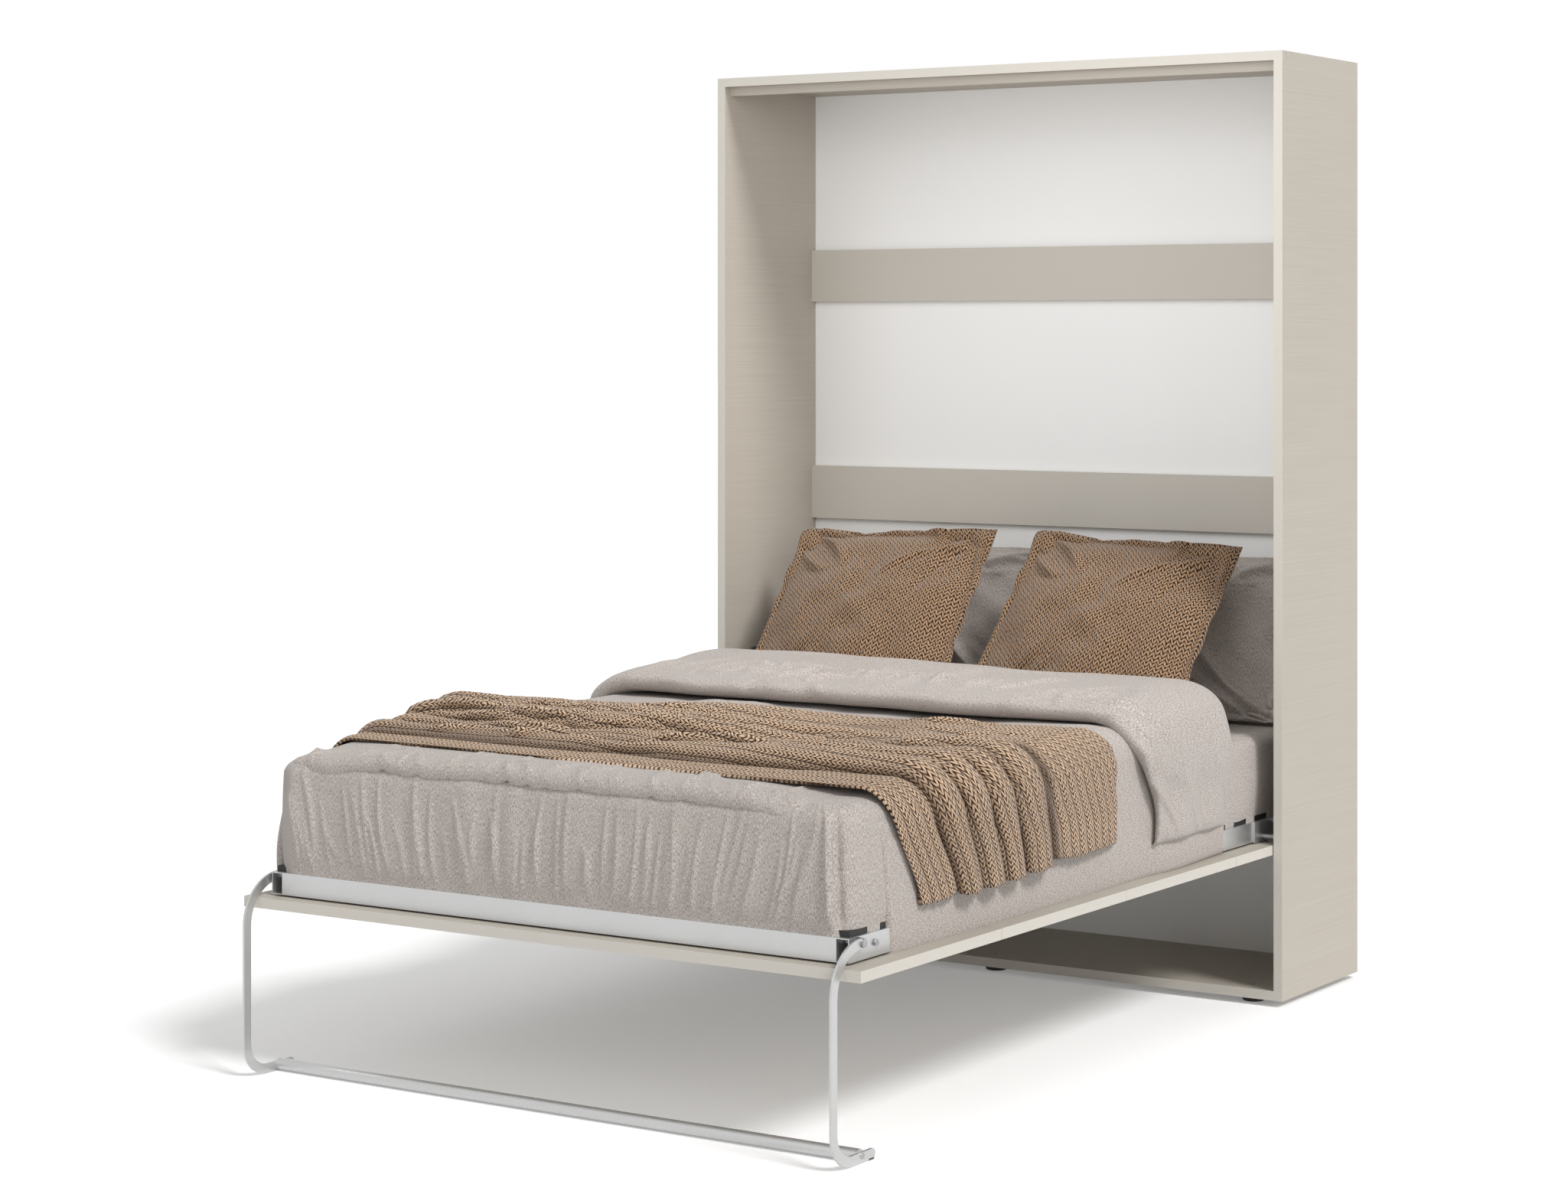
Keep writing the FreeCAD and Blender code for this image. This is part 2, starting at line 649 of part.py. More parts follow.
bar_y = leg_pivot_y - foot_bar_forward
bar_z = leg_floor_gap + foot_bar_radius + foot_bar_rise
pad_y = leg_pivot_y + leg_toe - pad_from_toe - pad_length / 2
toe_pads = []
leg_bushes = []
leg_bolts = []
foot_screws = []
side_studs = []
for name, side in SIDES:
    near_x = side * leg_inner_x
    far_x = side * leg_outer_x
    leg = leg_plate(near_x, far_x)
    leg = leg.cut(rod_x(near_x, far_x, leg_pivot_y, leg_pivot_z, leg_bolt_radius + running_clearance))
    leg = leg.cut(rod_x(near_x, far_x, bar_y, bar_z, foot_screw_radius))
    pad = block(near_x, far_x, pad_y - pad_length / 2, pad_y + pad_length / 2, 0, pad_height)
    leg = leg.cut(pad)
    add("leg_" + name, leg)
    toe_pads.append(pad)
    bush = rod_x(side * frame_half, side * (leg_inner_x - leg_side_clearance), leg_pivot_y, leg_pivot_z,
                 leg_bush_radius)
    bush = bush.cut(rod_x(side * frame_half, side * leg_inner_x, leg_pivot_y, leg_pivot_z, leg_bolt_radius))
    leg_bushes.append(bush)
    head_x = side * (leg_outer_x + leg_side_clearance)
    shank = rod_x(side * leg_bolt_tip_x, head_x, leg_pivot_y, leg_pivot_z, leg_bolt_radius)
    head = rod_x(head_x, head_x + side * leg_bolt_head_height, leg_pivot_y, leg_pivot_z,
                 leg_bolt_head_radius)
    nut = rod_x(side * (frame_half - tube_wall - leg_bolt_head_height), side * (frame_half - tube_wall),
                leg_pivot_y, leg_pivot_z, leg_bolt_head_radius)
    leg_bolts.append(shank.fuse(head).fuse(nut).removeSplitter())
    shank = rod_x(side * (leg_inner_x - foot_screw_depth), far_x, bar_y, bar_z, foot_screw_radius)
    head = rod_x(far_x, far_x + side * foot_screw_head_height, bar_y, bar_z, foot_screw_head_radius)
    foot_screws.append(shank.fuse(head).removeSplitter())
    stud_tip = side * (frame_half + side_stud_length)
    side_stud = rod_x(side * frame_half, stud_tip, leg_pivot_y + side_stud_back,
                      leg_pivot_z - side_stud_drop, side_stud_radius)
    stud_cap = rod_x(stud_tip - side * side_stud_head_height, stud_tip, leg_pivot_y + side_stud_back,
                     leg_pivot_z - side_stud_drop, side_stud_head_radius)
    side_studs.append(side_stud.fuse(stud_cap).removeSplitter())
add("toe_pads", group(toe_pads))
add("leg_bushes", group(leg_bushes))
add("leg_bolts", group(leg_bolts))
add("foot_screws", group(foot_screws))
add("side_studs", group(side_studs))
foot_bar = rod_x(-leg_inner_x, leg_inner_x, bar_y, bar_z, foot_bar_radius)
foot_bar = foot_bar.cut(rod_x(-leg_inner_x + foot_screw_depth, leg_inner_x - foot_screw_depth, bar_y, bar_z,
                              foot_bar_radius - foot_bar_wall))
foot_bar = foot_bar.cut(rod_x(-leg_inner_x, leg_inner_x, bar_y, bar_z, foot_screw_radius))
add("foot_bar", foot_bar)

# Mattress on the slats
mattress = block(-mattress_half, mattress_half, mattress_foot_y, mattress_head_y, mattress_low_z,
                 mattress_high_z)
mattress = mattress.makeFillet(mattress_edge, mattress.Edges)
add("mattress", mattress)


def fluted_drop(start, run, outwards, thickness, fold, rise, count):
    """Hanging cloth: a flat inner face along run, and count rounded folds outwards."""
    step = run * (1 / count)
    valley = start.add(outwards * thickness)
    edges = [line(start.add(run), start), line(start, valley)]
    for index in range(count):
        foot = valley.add(step * index)
        crest = foot.add(step * (1 / 2)).add(outwards * fold)
        edges.append(arc(foot, crest, foot.add(step)))
    edges.append(line(valley.add(run), start.add(run)))
    return face_of(edges).extrude(AXIS_Z * rise)


def ridge_profile(x, y0, y1, z0, thickness, ridge, count):
    """The outline of cloth lying across the bed: flat below, rounded ridges on top."""
    step = (y1 - y0) / count
    top = z0 + thickness
    edges = [line(V(x, y1, z0), V(x, y0, z0)), line(V(x, y0, z0), V(x, y0, top))]
    for index in range(count):
        start = y0 + step * index
        edges.append(arc(V(x, start, top), V(x, start + step / 2, top + ridge), V(x, start + step, top)))
    edges.append(line(V(x, y1, top), V(x, y1, z0)))
    return Part.Wire(edges)


def crowned_half(width, height, depth, drawn):
    """Half a pillow: outlines with drawn-in sides shrink from the seam towards the crown."""
    wires = []
    for depth_share, spread_share in zip(crown_depth_shares, crown_spread_shares):
        y = depth * depth_share
        half_w = width / 2 * spread_share
        half_h = height / 2 * spread_share
        pull = drawn * spread_share
        corners = [V(-half_w, y, -half_h), V(half_w, y, -half_h), V(half_w, y, half_h),
                   V(-half_w, y, half_h)]
        middles = [V(0, y, -half_h + pull), V(half_w - pull, y, 0), V(0, y, half_h - pull),
                   V(-half_w + pull, y, 0)]
        sides = [arc(corners[i - 1], middles[i - 1], corners[i]) for i in range(1, len(corners))]
        sides.append(arc(corners[-1], middles[-1], corners[0]))
        wires.append(Part.Wire(sides))
    return Part.makeLoft(wires, True, False)


def stuffed(width, height, thickness, drawn):
    """A pillow standing upright, its seam all round in the middle plane."""
    front = crowned_half(width, height, -thickness / 2, drawn)
    back = crowned_half(width, height, thickness / 2, drawn)
    return front.fuse(back).removeSplitter()


def settle(shape, supports, direction):
    """Move a shape along direction until it is about one cloth clearance from its supports."""
    rest = shape.copy()
    gap = min(rest.distToShape(support)[0] for support in supports)
    while gap > cloth_clearance * 2:
        rest.translate(direction * (gap - cloth_clearance))
        gap = min(rest.distToShape(support)[0] for support in supports)
    return rest


# Duvet over the mattress: tucked in at the foot, and hanging past the frame on both sides
duvet_low_z = mattress_high_z + cloth_clearance
duvet_high_z = duvet_low_z + duvet_thickness
duvet_inner_x = mattress_half + cloth_clearance
duvet_foot_y = mattress_foot_y - cloth_clearance
duvet_corner_y = mattress_foot_y + duvet_corner
cap_half = duvet_inner_x + duvet_side
drop_near_x = frame_half + drop_clearance
duvet_half = drop_near_x + drop_thickness
duvet_hem_z = door_high_z + duvet_hem_rise
duvet_shoulder_z = duvet_high_z - duvet_edge
duvet = block(-duvet_half, duvet_half, duvet_foot_y - duvet_foot, duvet_head_y, duvet_low_z, duvet_high_z)
upper_edges = [edge for edge in duvet.Edges if edge.BoundBox.ZMin > duvet_shoulder_z]
duvet = duvet.makeFillet(duvet_edge, upper_edges)
cap = block(-cap_half, cap_half, duvet_foot_y, duvet_corner_y, mattress_low_z, duvet_shoulder_z)
duvet = duvet.fuse(cap)
duvet = duvet.cut(block(-duvet_inner_x, duvet_inner_x, duvet_foot_y, duvet_corner_y, mattress_low_z,
                        duvet_low_z))
foot_drop = fluted_drop(V(-cap_half, duvet_foot_y, mattress_low_z), AXIS_X * (cap_half * 2), -AXIS_Y,
                        duvet_foot, duvet_foot_fold, duvet_shoulder_z - mattress_low_z, duvet_foot_fold_count)
duvet = duvet.fuse(foot_drop)
for name, side in SIDES:
    drop = fluted_drop(V(side * drop_near_x, duvet_corner_y, duvet_hem_z),
                       AXIS_Y * (duvet_head_y - duvet_corner_y), AXIS_X * side, drop_thickness, duvet_fold,
                       duvet_shoulder_z - duvet_hem_z, duvet_fold_count)
    duvet = duvet.fuse(drop)
add("duvet", duvet.removeSplitter())

# The duvet's turned-back end: a full fold in front of the pillows that hangs over both edges
fold_low_z = duvet_high_z + cloth_clearance
outer_half = duvet_half + duvet_fold + cloth_clearance
crest_y = (turnback_front_y + turnback_back_y * 2) / 3
nose_y = turnback_front_y - turnback_nose
turnback_edges = [
    line(V(-outer_half, turnback_back_y, fold_low_z), V(-outer_half, turnback_front_y, fold_low_z)),
    arc(V(-outer_half, turnback_front_y, fold_low_z), V(-outer_half, nose_y, fold_low_z + turnback_lip / 2),
        V(-outer_half, turnback_front_y, fold_low_z + turnback_lip)),
    arc(V(-outer_half, turnback_front_y, fold_low_z + turnback_lip),
        V(-outer_half, crest_y, fold_low_z + turnback_crest),
        V(-outer_half, turnback_back_y, fold_low_z + turnback_shoulder)),
    line(V(-outer_half, turnback_back_y, fold_low_z + turnback_shoulder),
         V(-outer_half, turnback_back_y, fold_low_z)),
]
turnback = face_of(turnback_edges).extrude(V(outer_half * 2, 0, 0))
for name, side in SIDES:
    drop = fluted_drop(V(side * outer_half, turnback_drop_front_y, turnback_hem),
                       AXIS_Y * (turnback_drop_back_y - turnback_drop_front_y), AXIS_X * side,
                       turnback_drop, duvet_fold, fold_low_z + turnback_lip - turnback_hem,
                       turnback_fold_count)
    turnback = turnback.fuse(drop)
add("duvet_turnback", turnback.removeSplitter())

# Knitted throw across the bed, gathered up on the left, with deep folds where it hangs over the edges
throw_sides = (
    (-1, throw_left_shares, throw_left_ridge),
    (1, throw_right_shares, throw_right_ridge),
)
profiles = []
drops = []
open_length = nose_y - mattress_foot_y
for side, spread_shares, ridge in throw_sides:
    front_y, back_y = [mattress_foot_y + open_length * share for share in spread_shares]
    profiles.append(ridge_profile(side * outer_half, front_y, back_y, fold_low_z, throw_thickness, ridge,
                                  throw_ridge_count))
    drops.append(fluted_drop(V(side * outer_half, front_y, throw_hem), AXIS_Y * (back_y - front_y),
                             AXIS_X * side, throw_thickness, throw_fold,
                             fold_low_z + throw_thickness - throw_hem, throw_fold_count))
throw = Part.makeLoft(profiles, True, True)
for drop in drops:
    throw = throw.fuse(drop)
add("knitted_throw", throw.removeSplitter())

# Two pillows lean on the back of the cabinet, and two knitted cushions lean on them
back_wall = block(-inner_half, inner_half, panel_back_y, cabinet_depth, side_low_z, side_high_z)
bed_top = block(-mattress_half, mattress_half, mattress_foot_y, mattress_head_y, mattress_low_z,
                mattress_high_z)
pillows = {}
pillow_width = mattress_half - pillow_side_inset - pillow_middle_gap / 2
cushion_width = mattress_half - cushion_side_inset - cushion_middle_gap / 2
for name, side in SIDES:
    pillow = stuffed(pillow_width, pillow_height, pillow_thickness, pillow_drawn)
    pillow.rotate(V(0, 0, 0), AXIS_X, -pillow_lean)
    pillow.translate(V(side * (pillow_middle_gap + pillow_width) / 2, pivot_y,
                       mattress_high_z + pillow_height))
    pillow = settle(pillow, [bed_top], -AXIS_Z)
    pillow = settle(pillow, [back_wall], AXIS_Y)
    pillows[name] = pillow
    add("pillow_" + name, pillow)
for name, side in SIDES:
    cushion = stuffed(cushion_width, cushion_height, cushion_thickness, cushion_drawn)
    cushion.rotate(V(0, 0, 0), AXIS_X, -cushion_lean)
    cushion.translate(V(side * (cushion_middle_gap + cushion_width) / 2 - cushion_shift, turnback_back_y,
                        mattress_high_z + cushion_height))
    cushion = settle(cushion, [bed_top], -AXIS_Z)
    cushion = settle(cushion, list(pillows.values()), AXIS_Y)
    add("cushion_" + name, cushion)

os.makedirs("parts", exist_ok=True)
for node, shape in parts.items():
    if not shape.isValid():
        print("not valid:", node)
    shape.exportStep("parts/" + node + ".step")
print(len(parts), "nodes")
print("pivot", round(pivot_y - origin_y, 3), round(pivot_z, 3))
print("leg pivot", round(leg_pivot_y - origin_y, 3), round(leg_pivot_z, 3))
print("spring upper", round(upper_y - origin_y, 3), round(upper_z, 3), "stroke", round(spring_stroke, 3))
print("spring down", round(spring_down.y, 6), round(spring_down.z, 6))
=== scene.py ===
import bpy
import math
import numpy as np
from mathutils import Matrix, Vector


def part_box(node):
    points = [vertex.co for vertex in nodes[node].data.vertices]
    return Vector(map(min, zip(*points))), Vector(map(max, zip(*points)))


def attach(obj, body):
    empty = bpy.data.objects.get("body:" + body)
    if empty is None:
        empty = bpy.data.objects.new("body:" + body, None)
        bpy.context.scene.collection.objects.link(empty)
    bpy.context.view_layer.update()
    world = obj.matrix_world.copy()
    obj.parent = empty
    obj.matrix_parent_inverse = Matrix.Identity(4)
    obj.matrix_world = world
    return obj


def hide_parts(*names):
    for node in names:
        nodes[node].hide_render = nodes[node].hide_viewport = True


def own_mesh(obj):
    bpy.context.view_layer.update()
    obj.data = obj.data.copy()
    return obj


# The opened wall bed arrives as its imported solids. Boards, tubes and fittings are kept as they
# are and get their finishes below; the mattress and the bedding are modelled as cloth.
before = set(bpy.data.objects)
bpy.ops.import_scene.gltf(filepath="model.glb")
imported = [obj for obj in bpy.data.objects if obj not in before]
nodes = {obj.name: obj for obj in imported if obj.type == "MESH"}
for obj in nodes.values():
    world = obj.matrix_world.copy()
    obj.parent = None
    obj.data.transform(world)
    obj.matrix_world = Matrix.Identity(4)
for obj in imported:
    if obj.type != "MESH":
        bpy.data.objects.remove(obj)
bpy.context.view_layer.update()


class Shade:
    """A shader socket that takes part in Python arithmetic; every operator adds a Math node."""

    def __init__(self, socket):
        self.socket = socket

    def math(self, operation, other=0.0, swapped=False):
        node = self.socket.id_data.nodes.new("ShaderNodeMath")
        node.operation = operation
        first, second = (other, self) if swapped else (self, other)
        feed(node.inputs[0], first)
        feed(node.inputs[1], second)
        return Shade(node.outputs[0])

    def __add__(self, other):
        return self.math("ADD", other)

    def __radd__(self, other):
        return self.math("ADD", other)

    def __sub__(self, other):
        return self.math("SUBTRACT", other)

    def __rsub__(self, other):
        return self.math("SUBTRACT", other, True)

    def __mul__(self, other):
        return self.math("MULTIPLY", other)

    def __truediv__(self, other):
        return self.math("DIVIDE", other)

    def __gt__(self, other):
        return self.math("GREATER_THAN", other)

    def __lt__(self, other):
        return self.math("LESS_THAN", other)

    def sin(self):
        return self.math("SINE")

    def abs(self):
        return self.math("ABSOLUTE")

    def fract(self):
        return self.math("FRACT")

    def most(self, other):
        return self.math("MAXIMUM", other)

    def least(self, other):
        return self.math("MINIMUM", other)


def feed(place, value):
    """Link a Shade to a node's input, or set the input to a plain value."""
    if isinstance(value, Shade):
        place.id_data.links.new(value.socket, place)
    else:
        place.default_value = value


class Finish:
    """A material around one Principled shader, with constants set on the shader's own sockets."""

    def __init__(self, name, **constants):
        self.material = bpy.data.materials.new(name)
        self.material.use_nodes = True
        self.tree = self.material.node_tree
        self.shader = self.tree.nodes["Principled BSDF"]
        for key, value in constants.items():
            socket = key.replace("_", " ").title().replace("Ior", "IOR")
            self.shader.inputs[socket].default_value = value

    def node(self, kind, settings=(), inputs=(), output=0):
        """Add a node of a kind; settings first, then the values or links of its sockets."""
        node = self.tree.nodes.new(kind)
        for key, value in dict(settings).items():
            setattr(node, key, value)
        for key, value in dict(inputs).items():
            feed(node.inputs[key], value)
        return Shade(node.outputs[output])

    def place(self):
        return self.node("ShaderNodeTexCoord", output="Object")

    def cloth_map(self):
        return self.node("ShaderNodeUVMap", {"uv_map": "cloth"})

    def axes(self, vector):
        node = self.tree.nodes.new("ShaderNodeSeparateXYZ")
        feed(node.inputs[0], vector)
        return [Shade(output) for output in node.outputs]

    def stretched(self, vector, scale):
        return self.node("ShaderNodeMapping", {}, {"Vector": vector, "Scale": scale})

    def noise(self, vector, scale, detail=2.0, roughness=0.5):
        return self.node("ShaderNodeTexNoise", {},
                         {"Vector": vector, "Scale": scale, "Detail": detail, "Roughness": roughness})

    def ramp(self, factor, low, high):
        """Spread a value between low and high over 0 to 1, and hold it there outside."""
        return self.node("ShaderNodeMapRange", {"clamp": True},
                         {"Value": factor, "From Min": low, "From Max": high})

    def mix(self, factor, first, second):
        """The first colour at a factor of 0, the second at 1."""
        node = self.tree.nodes.new("ShaderNodeMix")
        node.data_type = "RGBA"
        feed(node.inputs[0], factor)
        feed(node.inputs[6], first)
        feed(node.inputs[7], second)
        return Shade(node.outputs[2])

    def wear(self, colour, roughness, bumps=(), metallic=None):
        """Link what changes over the surface; bumps are (height, metres) pairs laid on each other."""
        feed(self.shader.inputs["Base Color"], colour)
        feed(self.shader.inputs["Roughness"], roughness)
        if metallic is not None:
            feed(self.shader.inputs["Metallic"], metallic)
        normal = None
        for height, distance in bumps:
            inputs = {"Height": height, "Distance": distance, "Strength": 1.0}
            if normal is not None:
                inputs["Normal"] = normal
            normal = self.node("ShaderNodeBump", {}, inputs)
        if normal is not None:
            feed(self.shader.inputs["Normal"], normal)

    def dress(self, *names):
        """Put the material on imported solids, in place of what they came with."""
        for name in names:
            data = nodes[name].data
            data.materials.clear()
            data.materials.append(self.material)


def rgb(red, green, blue):
    """A colour written in screen values of 0 to 255, as the linear colour that shaders take."""
    shares = [channel / 255 for channel in (red, green, blue)]
    return tuple(((s + 0.055) / 1.055) ** 2.4 if s > 0.04045 else s / 12.92 for s in shares) + (1.0,)


# Cabinet and door boards: chipboard with a cashmere melamine face, pressed with a fine line
# that runs level on the upright panels, and edged with a band painted paler than the faces, as painted
# light on the edges. Panels are screwed together; the back rails are dowelled between them, and
# their faces are painted nearly as pale as the edges, as painted light from the front.
cabinet_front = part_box("side_panel_right")[0].y
door_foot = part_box("door_board_1")[0].y
door_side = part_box("door_board_1")[1].x
band_thickness = 0.0006
rail_lit_share = 0.9
cashmere = rgb(183, 176, 165)
cashmere_deep = rgb(174, 166, 155)
lit_edge_colour = rgb(201, 196, 187)


def board_finish(name, grain, lit_band_test, lit_share=0.0):
    """Melamine: fine lines across the grain, slow mottling, and painted light: a paler colour on the edges
    that the test marks with 1. The last argument is how much of that paler colour the faces get as well."""
    board = Finish(name, specular_ior_level=0.35)
    place = board.place()
    lines = board.noise(board.stretched(place, grain), 1.0, 3.0, 0.6)
    slow = board.noise(place, 2.2, 2.0)
    x, y = board.axes(place)[:2]
    face = board.mix(board.ramp(lines, 0.3, 0.7), cashmere_deep, cashmere)
    face = board.mix(board.ramp(slow, 0.35, 0.65) * 0.3, face, cashmere)
    # Painted light: the edges get the paler colour, and the rail faces a share of it.
    colour = board.mix(lit_band_test(x, y).most(lit_share), face, lit_edge_colour)
    board.wear(colour, 0.42 + lines * 0.16, [(lines, 0.00012)])
    return board


def at_cabinet_front(x, y):
    """1 on the front edges of the cabinet's boards."""
    return y < cabinet_front + band_thickness


def at_door_edges(x, y):
    """1 on the side edges and the foot edge of the door."""
    return (x.abs() > door_side - band_thickness).most(y < door_foot + band_thickness)


level_lines = board_finish("cashmere_upright", (3, 3, 420), at_cabinet_front)
level_lines.dress("side_panel_left", "side_panel_right", "top_batten")
lying_lines = board_finish("cashmere_lying", (3, 420, 3), at_cabinet_front)
lying_lines.dress("top_panel", "bottom_panel")
rail_lines = board_finish("cashmere_rail", (3, 3, 300), at_cabinet_front, rail_lit_share)
rail_lines.dress("upper_back_rail", "lower_back_rail")
door_lines = board_finish("cashmere_door", (3, 420, 3), at_door_edges)
door_lines.dress("door_board_1", "door_board_2", "door_board_3", "door_board_4")

# Back sheets: thin hardboard with a smooth white lacquered face, nailed behind the rails.
white_sheet = Finish("white_sheet", specular_ior_level=0.4)
sheet_place = white_sheet.place()
sheet_peel = white_sheet.noise(sheet_place, 260.0, 2.0)
sheet_slow = white_sheet.noise(sheet_place, 1.6, 2.0)
white_sheet.wear(white_sheet.mix(sheet_slow, rgb(243, 243, 242), rgb(248, 248, 247)),
                 0.38 + sheet_peel * 0.1, [(sheet_peel, 0.00005)])
white_sheet.dress("back_sheet_lower", "back_sheet_middle", "back_sheet_upper")

# Frame, leg and foot bar: steel tube and flat bar under a smooth silver powder coat.
silver = Finish("silver_coat", specular_ior_level=0.6, coat_weight=0.25, coat_roughness=0.2)
silver_place = silver.place()
silver_fleck = silver.noise(silver_place, 1900.0, 2.0)
silver_slow = silver.noise(silver_place, 14.0, 3.0)
silver.wear(silver.mix(silver.ramp(silver_fleck, 0.4, 0.65), rgb(186, 187, 187), rgb(215, 215, 214)),
            0.26 + silver_slow * 0.16, [(silver_fleck, 0.00004)], metallic=0.72 + silver_fleck * 0.1)
silver.dress("side_tube_left", "side_tube_right", "foot_beam", "head_beam", "cross_tubes", "pivot_plates",
             "leg_left", "leg_right", "foot_bar")

# Screws, bolts, studs and angles: zinc-plated steel with the faint marks of turning and handling.
zinc = Finish("zinc_plate", metallic=1.0, specular_ior_level=0.5)
zinc_place = zinc.place()
zinc_cloud = zinc.noise(zinc_place, 90.0, 4.0, 0.65)
zinc_mark = zinc.noise(zinc.stretched(zinc_place, (60, 900, 900)), 1.0, 2.0)
zinc.wear(zinc.mix(zinc.ramp(zinc_cloud, 0.3, 0.7), rgb(150, 152, 155), rgb(196, 197, 198)),
          0.22 + zinc_cloud * 0.25, [(zinc_mark, 0.00003)])
zinc.dress("cabinet_screws", "door_fixings", "wall_brackets", "bearing_plates", "spring_brackets",
           "spring_studs", "foot_sleeves", "pivot_pins", "leg_bolts", "foot_screws", "side_studs",
           "spring_rod_left", "spring_rod_right")

# Gas spring cylinders: black stoved enamel over drawn tube.
enamel = Finish("black_enamel", metallic=0.2, coat_weight=0.5, coat_roughness=0.15)
enamel_slow = enamel.noise(enamel.place(), 60.0, 3.0)
enamel.wear(enamel.mix(enamel_slow, rgb(22, 22, 23), rgb(34, 34, 35)), 0.24 + enamel_slow * 0.14)
enamel.dress("spring_cylinder_left", "spring_cylinder_right")

# Feet, bushes, spacers and slat holders: moulded black plastic with a fine spark-eroded grain.
moulded = Finish("moulded_black", specular_ior_level=0.4)
moulded_grain = moulded.noise(moulded.place(), 1400.0, 2.0)
moulded.wear(moulded.mix(moulded_grain, rgb(26, 26, 27), rgb(46, 46, 47)), 0.42 + moulded_grain * 0.22,
             [(moulded_grain, 0.00006)])
moulded.dress("pivot_bushes", "frame_spacers", "slat_holders", "leg_bushes")
moulded.dress("foot_front_left", "foot_front_middle", "foot_front_right")
moulded.dress("foot_rear_left", "foot_rear_middle", "foot_rear_right")

# Toe pads: grey rubber let into the underside of each toe.
rubber = Finish("toe_rubber", specular_ior_level=0.3)
rubber_grain = rubber.noise(rubber.place(), 900.0, 3.0)
rubber.wear(rubber.mix(rubber_grain, rgb(70, 70, 70), rgb(96, 96, 95)), 0.6 + rubber_grain * 0.25,
            [(rubber_grain, 0.00008)])
rubber.dress("toe_pads")

# Slats and dowels: bent birch plywood, its grain running across the bed.
birch = Finish("birch_ply", specular_ior_level=0.35, coat_weight=0.15, coat_roughness=0.3)
birch_place = birch.place()
birch_grain = birch.noise(birch.stretched(birch_place, (5, 160, 400)), 1.0, 4.0, 0.6)
birch_cloud = birch.noise(birch_place, 5.0, 2.0)
birch_figure = birch.ramp(birch_grain + birch_cloud * 0.3, 0.4, 0.9)
birch.wear(birch.mix(birch_figure, rgb(196, 160, 116), rgb(226, 198, 157)),
           0.4 + birch_grain * 0.2, [(birch_grain, 0.0001)])
birch.dress("slats", "rail_dowels")

# Bedding weave: one heathered cloth for sheet, duvet and pillows, woven in two tones of thread.
# The shader reads metres on each cloth's own flat map; a thread comes every 2.4 mm.
melange = Finish("melange_weave", specular_ior_level=0.2, sheen_weight=0.2, sheen_roughness=0.5)
flat = melange.cloth_map()
warp_flecks = melange.noise(melange.stretched(flat, (620, 160, 1)), 1.0, 2.0, 0.7)
weft_flecks = melange.noise(melange.stretched(flat, (240, 700, 1)), 1.0, 2.0, 0.7)
clouds = melange.noise(flat, 60.0, 3.0, 0.6)
heather = melange.ramp(warp_flecks * 0.6 + weft_flecks * 0.4 + (clouds - 0.5) * 0.06, 0.37, 0.62)
across_thread, along_thread = melange.axes(flat)[:2]
radians_per_metre = 2600.0
weave_height = (across_thread * radians_per_metre).sin() * (along_thread * radians_per_metre).sin()
weave_tone = melange.mix(heather, rgb(132, 117, 106), rgb(204, 199, 195))
melange.wear(weave_tone, 0.82 + heather * 0.12, [(heather + weave_height * 0.25, 0.00012)])

# Mattress: foam under a fitted cover of the same weave, tucked in at the frame. Its foot face
# shows soft upright wrinkles where the cover is pulled down behind the foot beam. Here and below,
# y falls toward the foot, and y_local is counted from the cabinet's front.
front = cabinet_front
mattress_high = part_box("mattress")[1]
sleep_top = mattress_high.z
cover_side = mattress_high.x + 0.011
cover_foot = front - 1.716
cover_head = mattress_high.y + 0.004
cover_bottom = 0.414
cover_corner = 0.05
cover_edge = 0.035
cover_wall = 0.25
crown_way = 0.66
crown_reach = 0.68
tuck = 0.05
fine_past_corner = 0.12
foot_columns, other_columns = 470, 150
wall_rows, crown_rows = 46, 12
slant_folds, broad_folds, tuck_folds = 52, 12, 70


def drift(x, y, seed):
    """Smooth random height: values on a unit lattice of 64 by 64 that repeats, blended both ways
    by t * t * (3 - 2t)."""
    size = 64
    table = np.random.default_rng(seed).uniform(-1, 1, (size, size))
    column, row = np.floor(x).astype(int), np.floor(y).astype(int)
    across, along = x - column, y - row
    across, along = across * across * (3 - 2 * across), along * along * (3 - 2 * along)
    column, row, column_after, row_after = column % size, row % size, (column + 1) % size, (row + 1) % size
    low = table[row, column] * (1 - across) + table[row, column_after] * across
    high = table[row_after, column] * (1 - across) + table[row_after, column_after] * across
    return low * (1 - along) + high * along


def ease(value, low, high):
    """0 below low, 1 above high, t * t * (3 - 2t) between."""
    share = np.clip((value - low) / (high - low), 0, 1)
    return share * share * (3 - 2 * share)


def crease(u, v, start, end, width, height, curve=0.0):
    """height * exp(-(d / width) ** 2), d from a line bowed by curve, fading as a sine to its ends."""
    run_u, run_v = end[0] - start[0], end[1] - start[1]
    length = math.hypot(run_u, run_v)
    along = np.clip(((u - start[0]) * run_u + (v - start[1]) * run_v) / length ** 2, 0, 1)
    apart = ((u - start[0]) * run_v - (v - start[1]) * run_u) / length + curve * np.sin(np.pi * along)
    return height * np.exp(-(apart / width) ** 2) * np.sin(np.pi * along) ** 0.7


def cloth_object(name, points, faces, flat_map, finish):
    """A smooth mesh object; flat_map gives each point its place on the flat cloth, in metres."""
    data = bpy.data.meshes.new(name)
    data.from_pydata(points.tolist(), [], faces.tolist())
    layer = data.uv_layers.new(name="cloth")
    corners = np.empty(len(data.loops), dtype=np.int64)
    data.loops.foreach_get("vertex_index", corners)
    layer.data.foreach_set("uv", flat_map[corners].ravel())
    data.materials.append(finish.material)
    data.shade_smooth()
    piece = bpy.data.objects.new(name, data)
    bpy.context.scene.collection.objects.link(piece)
    return piece


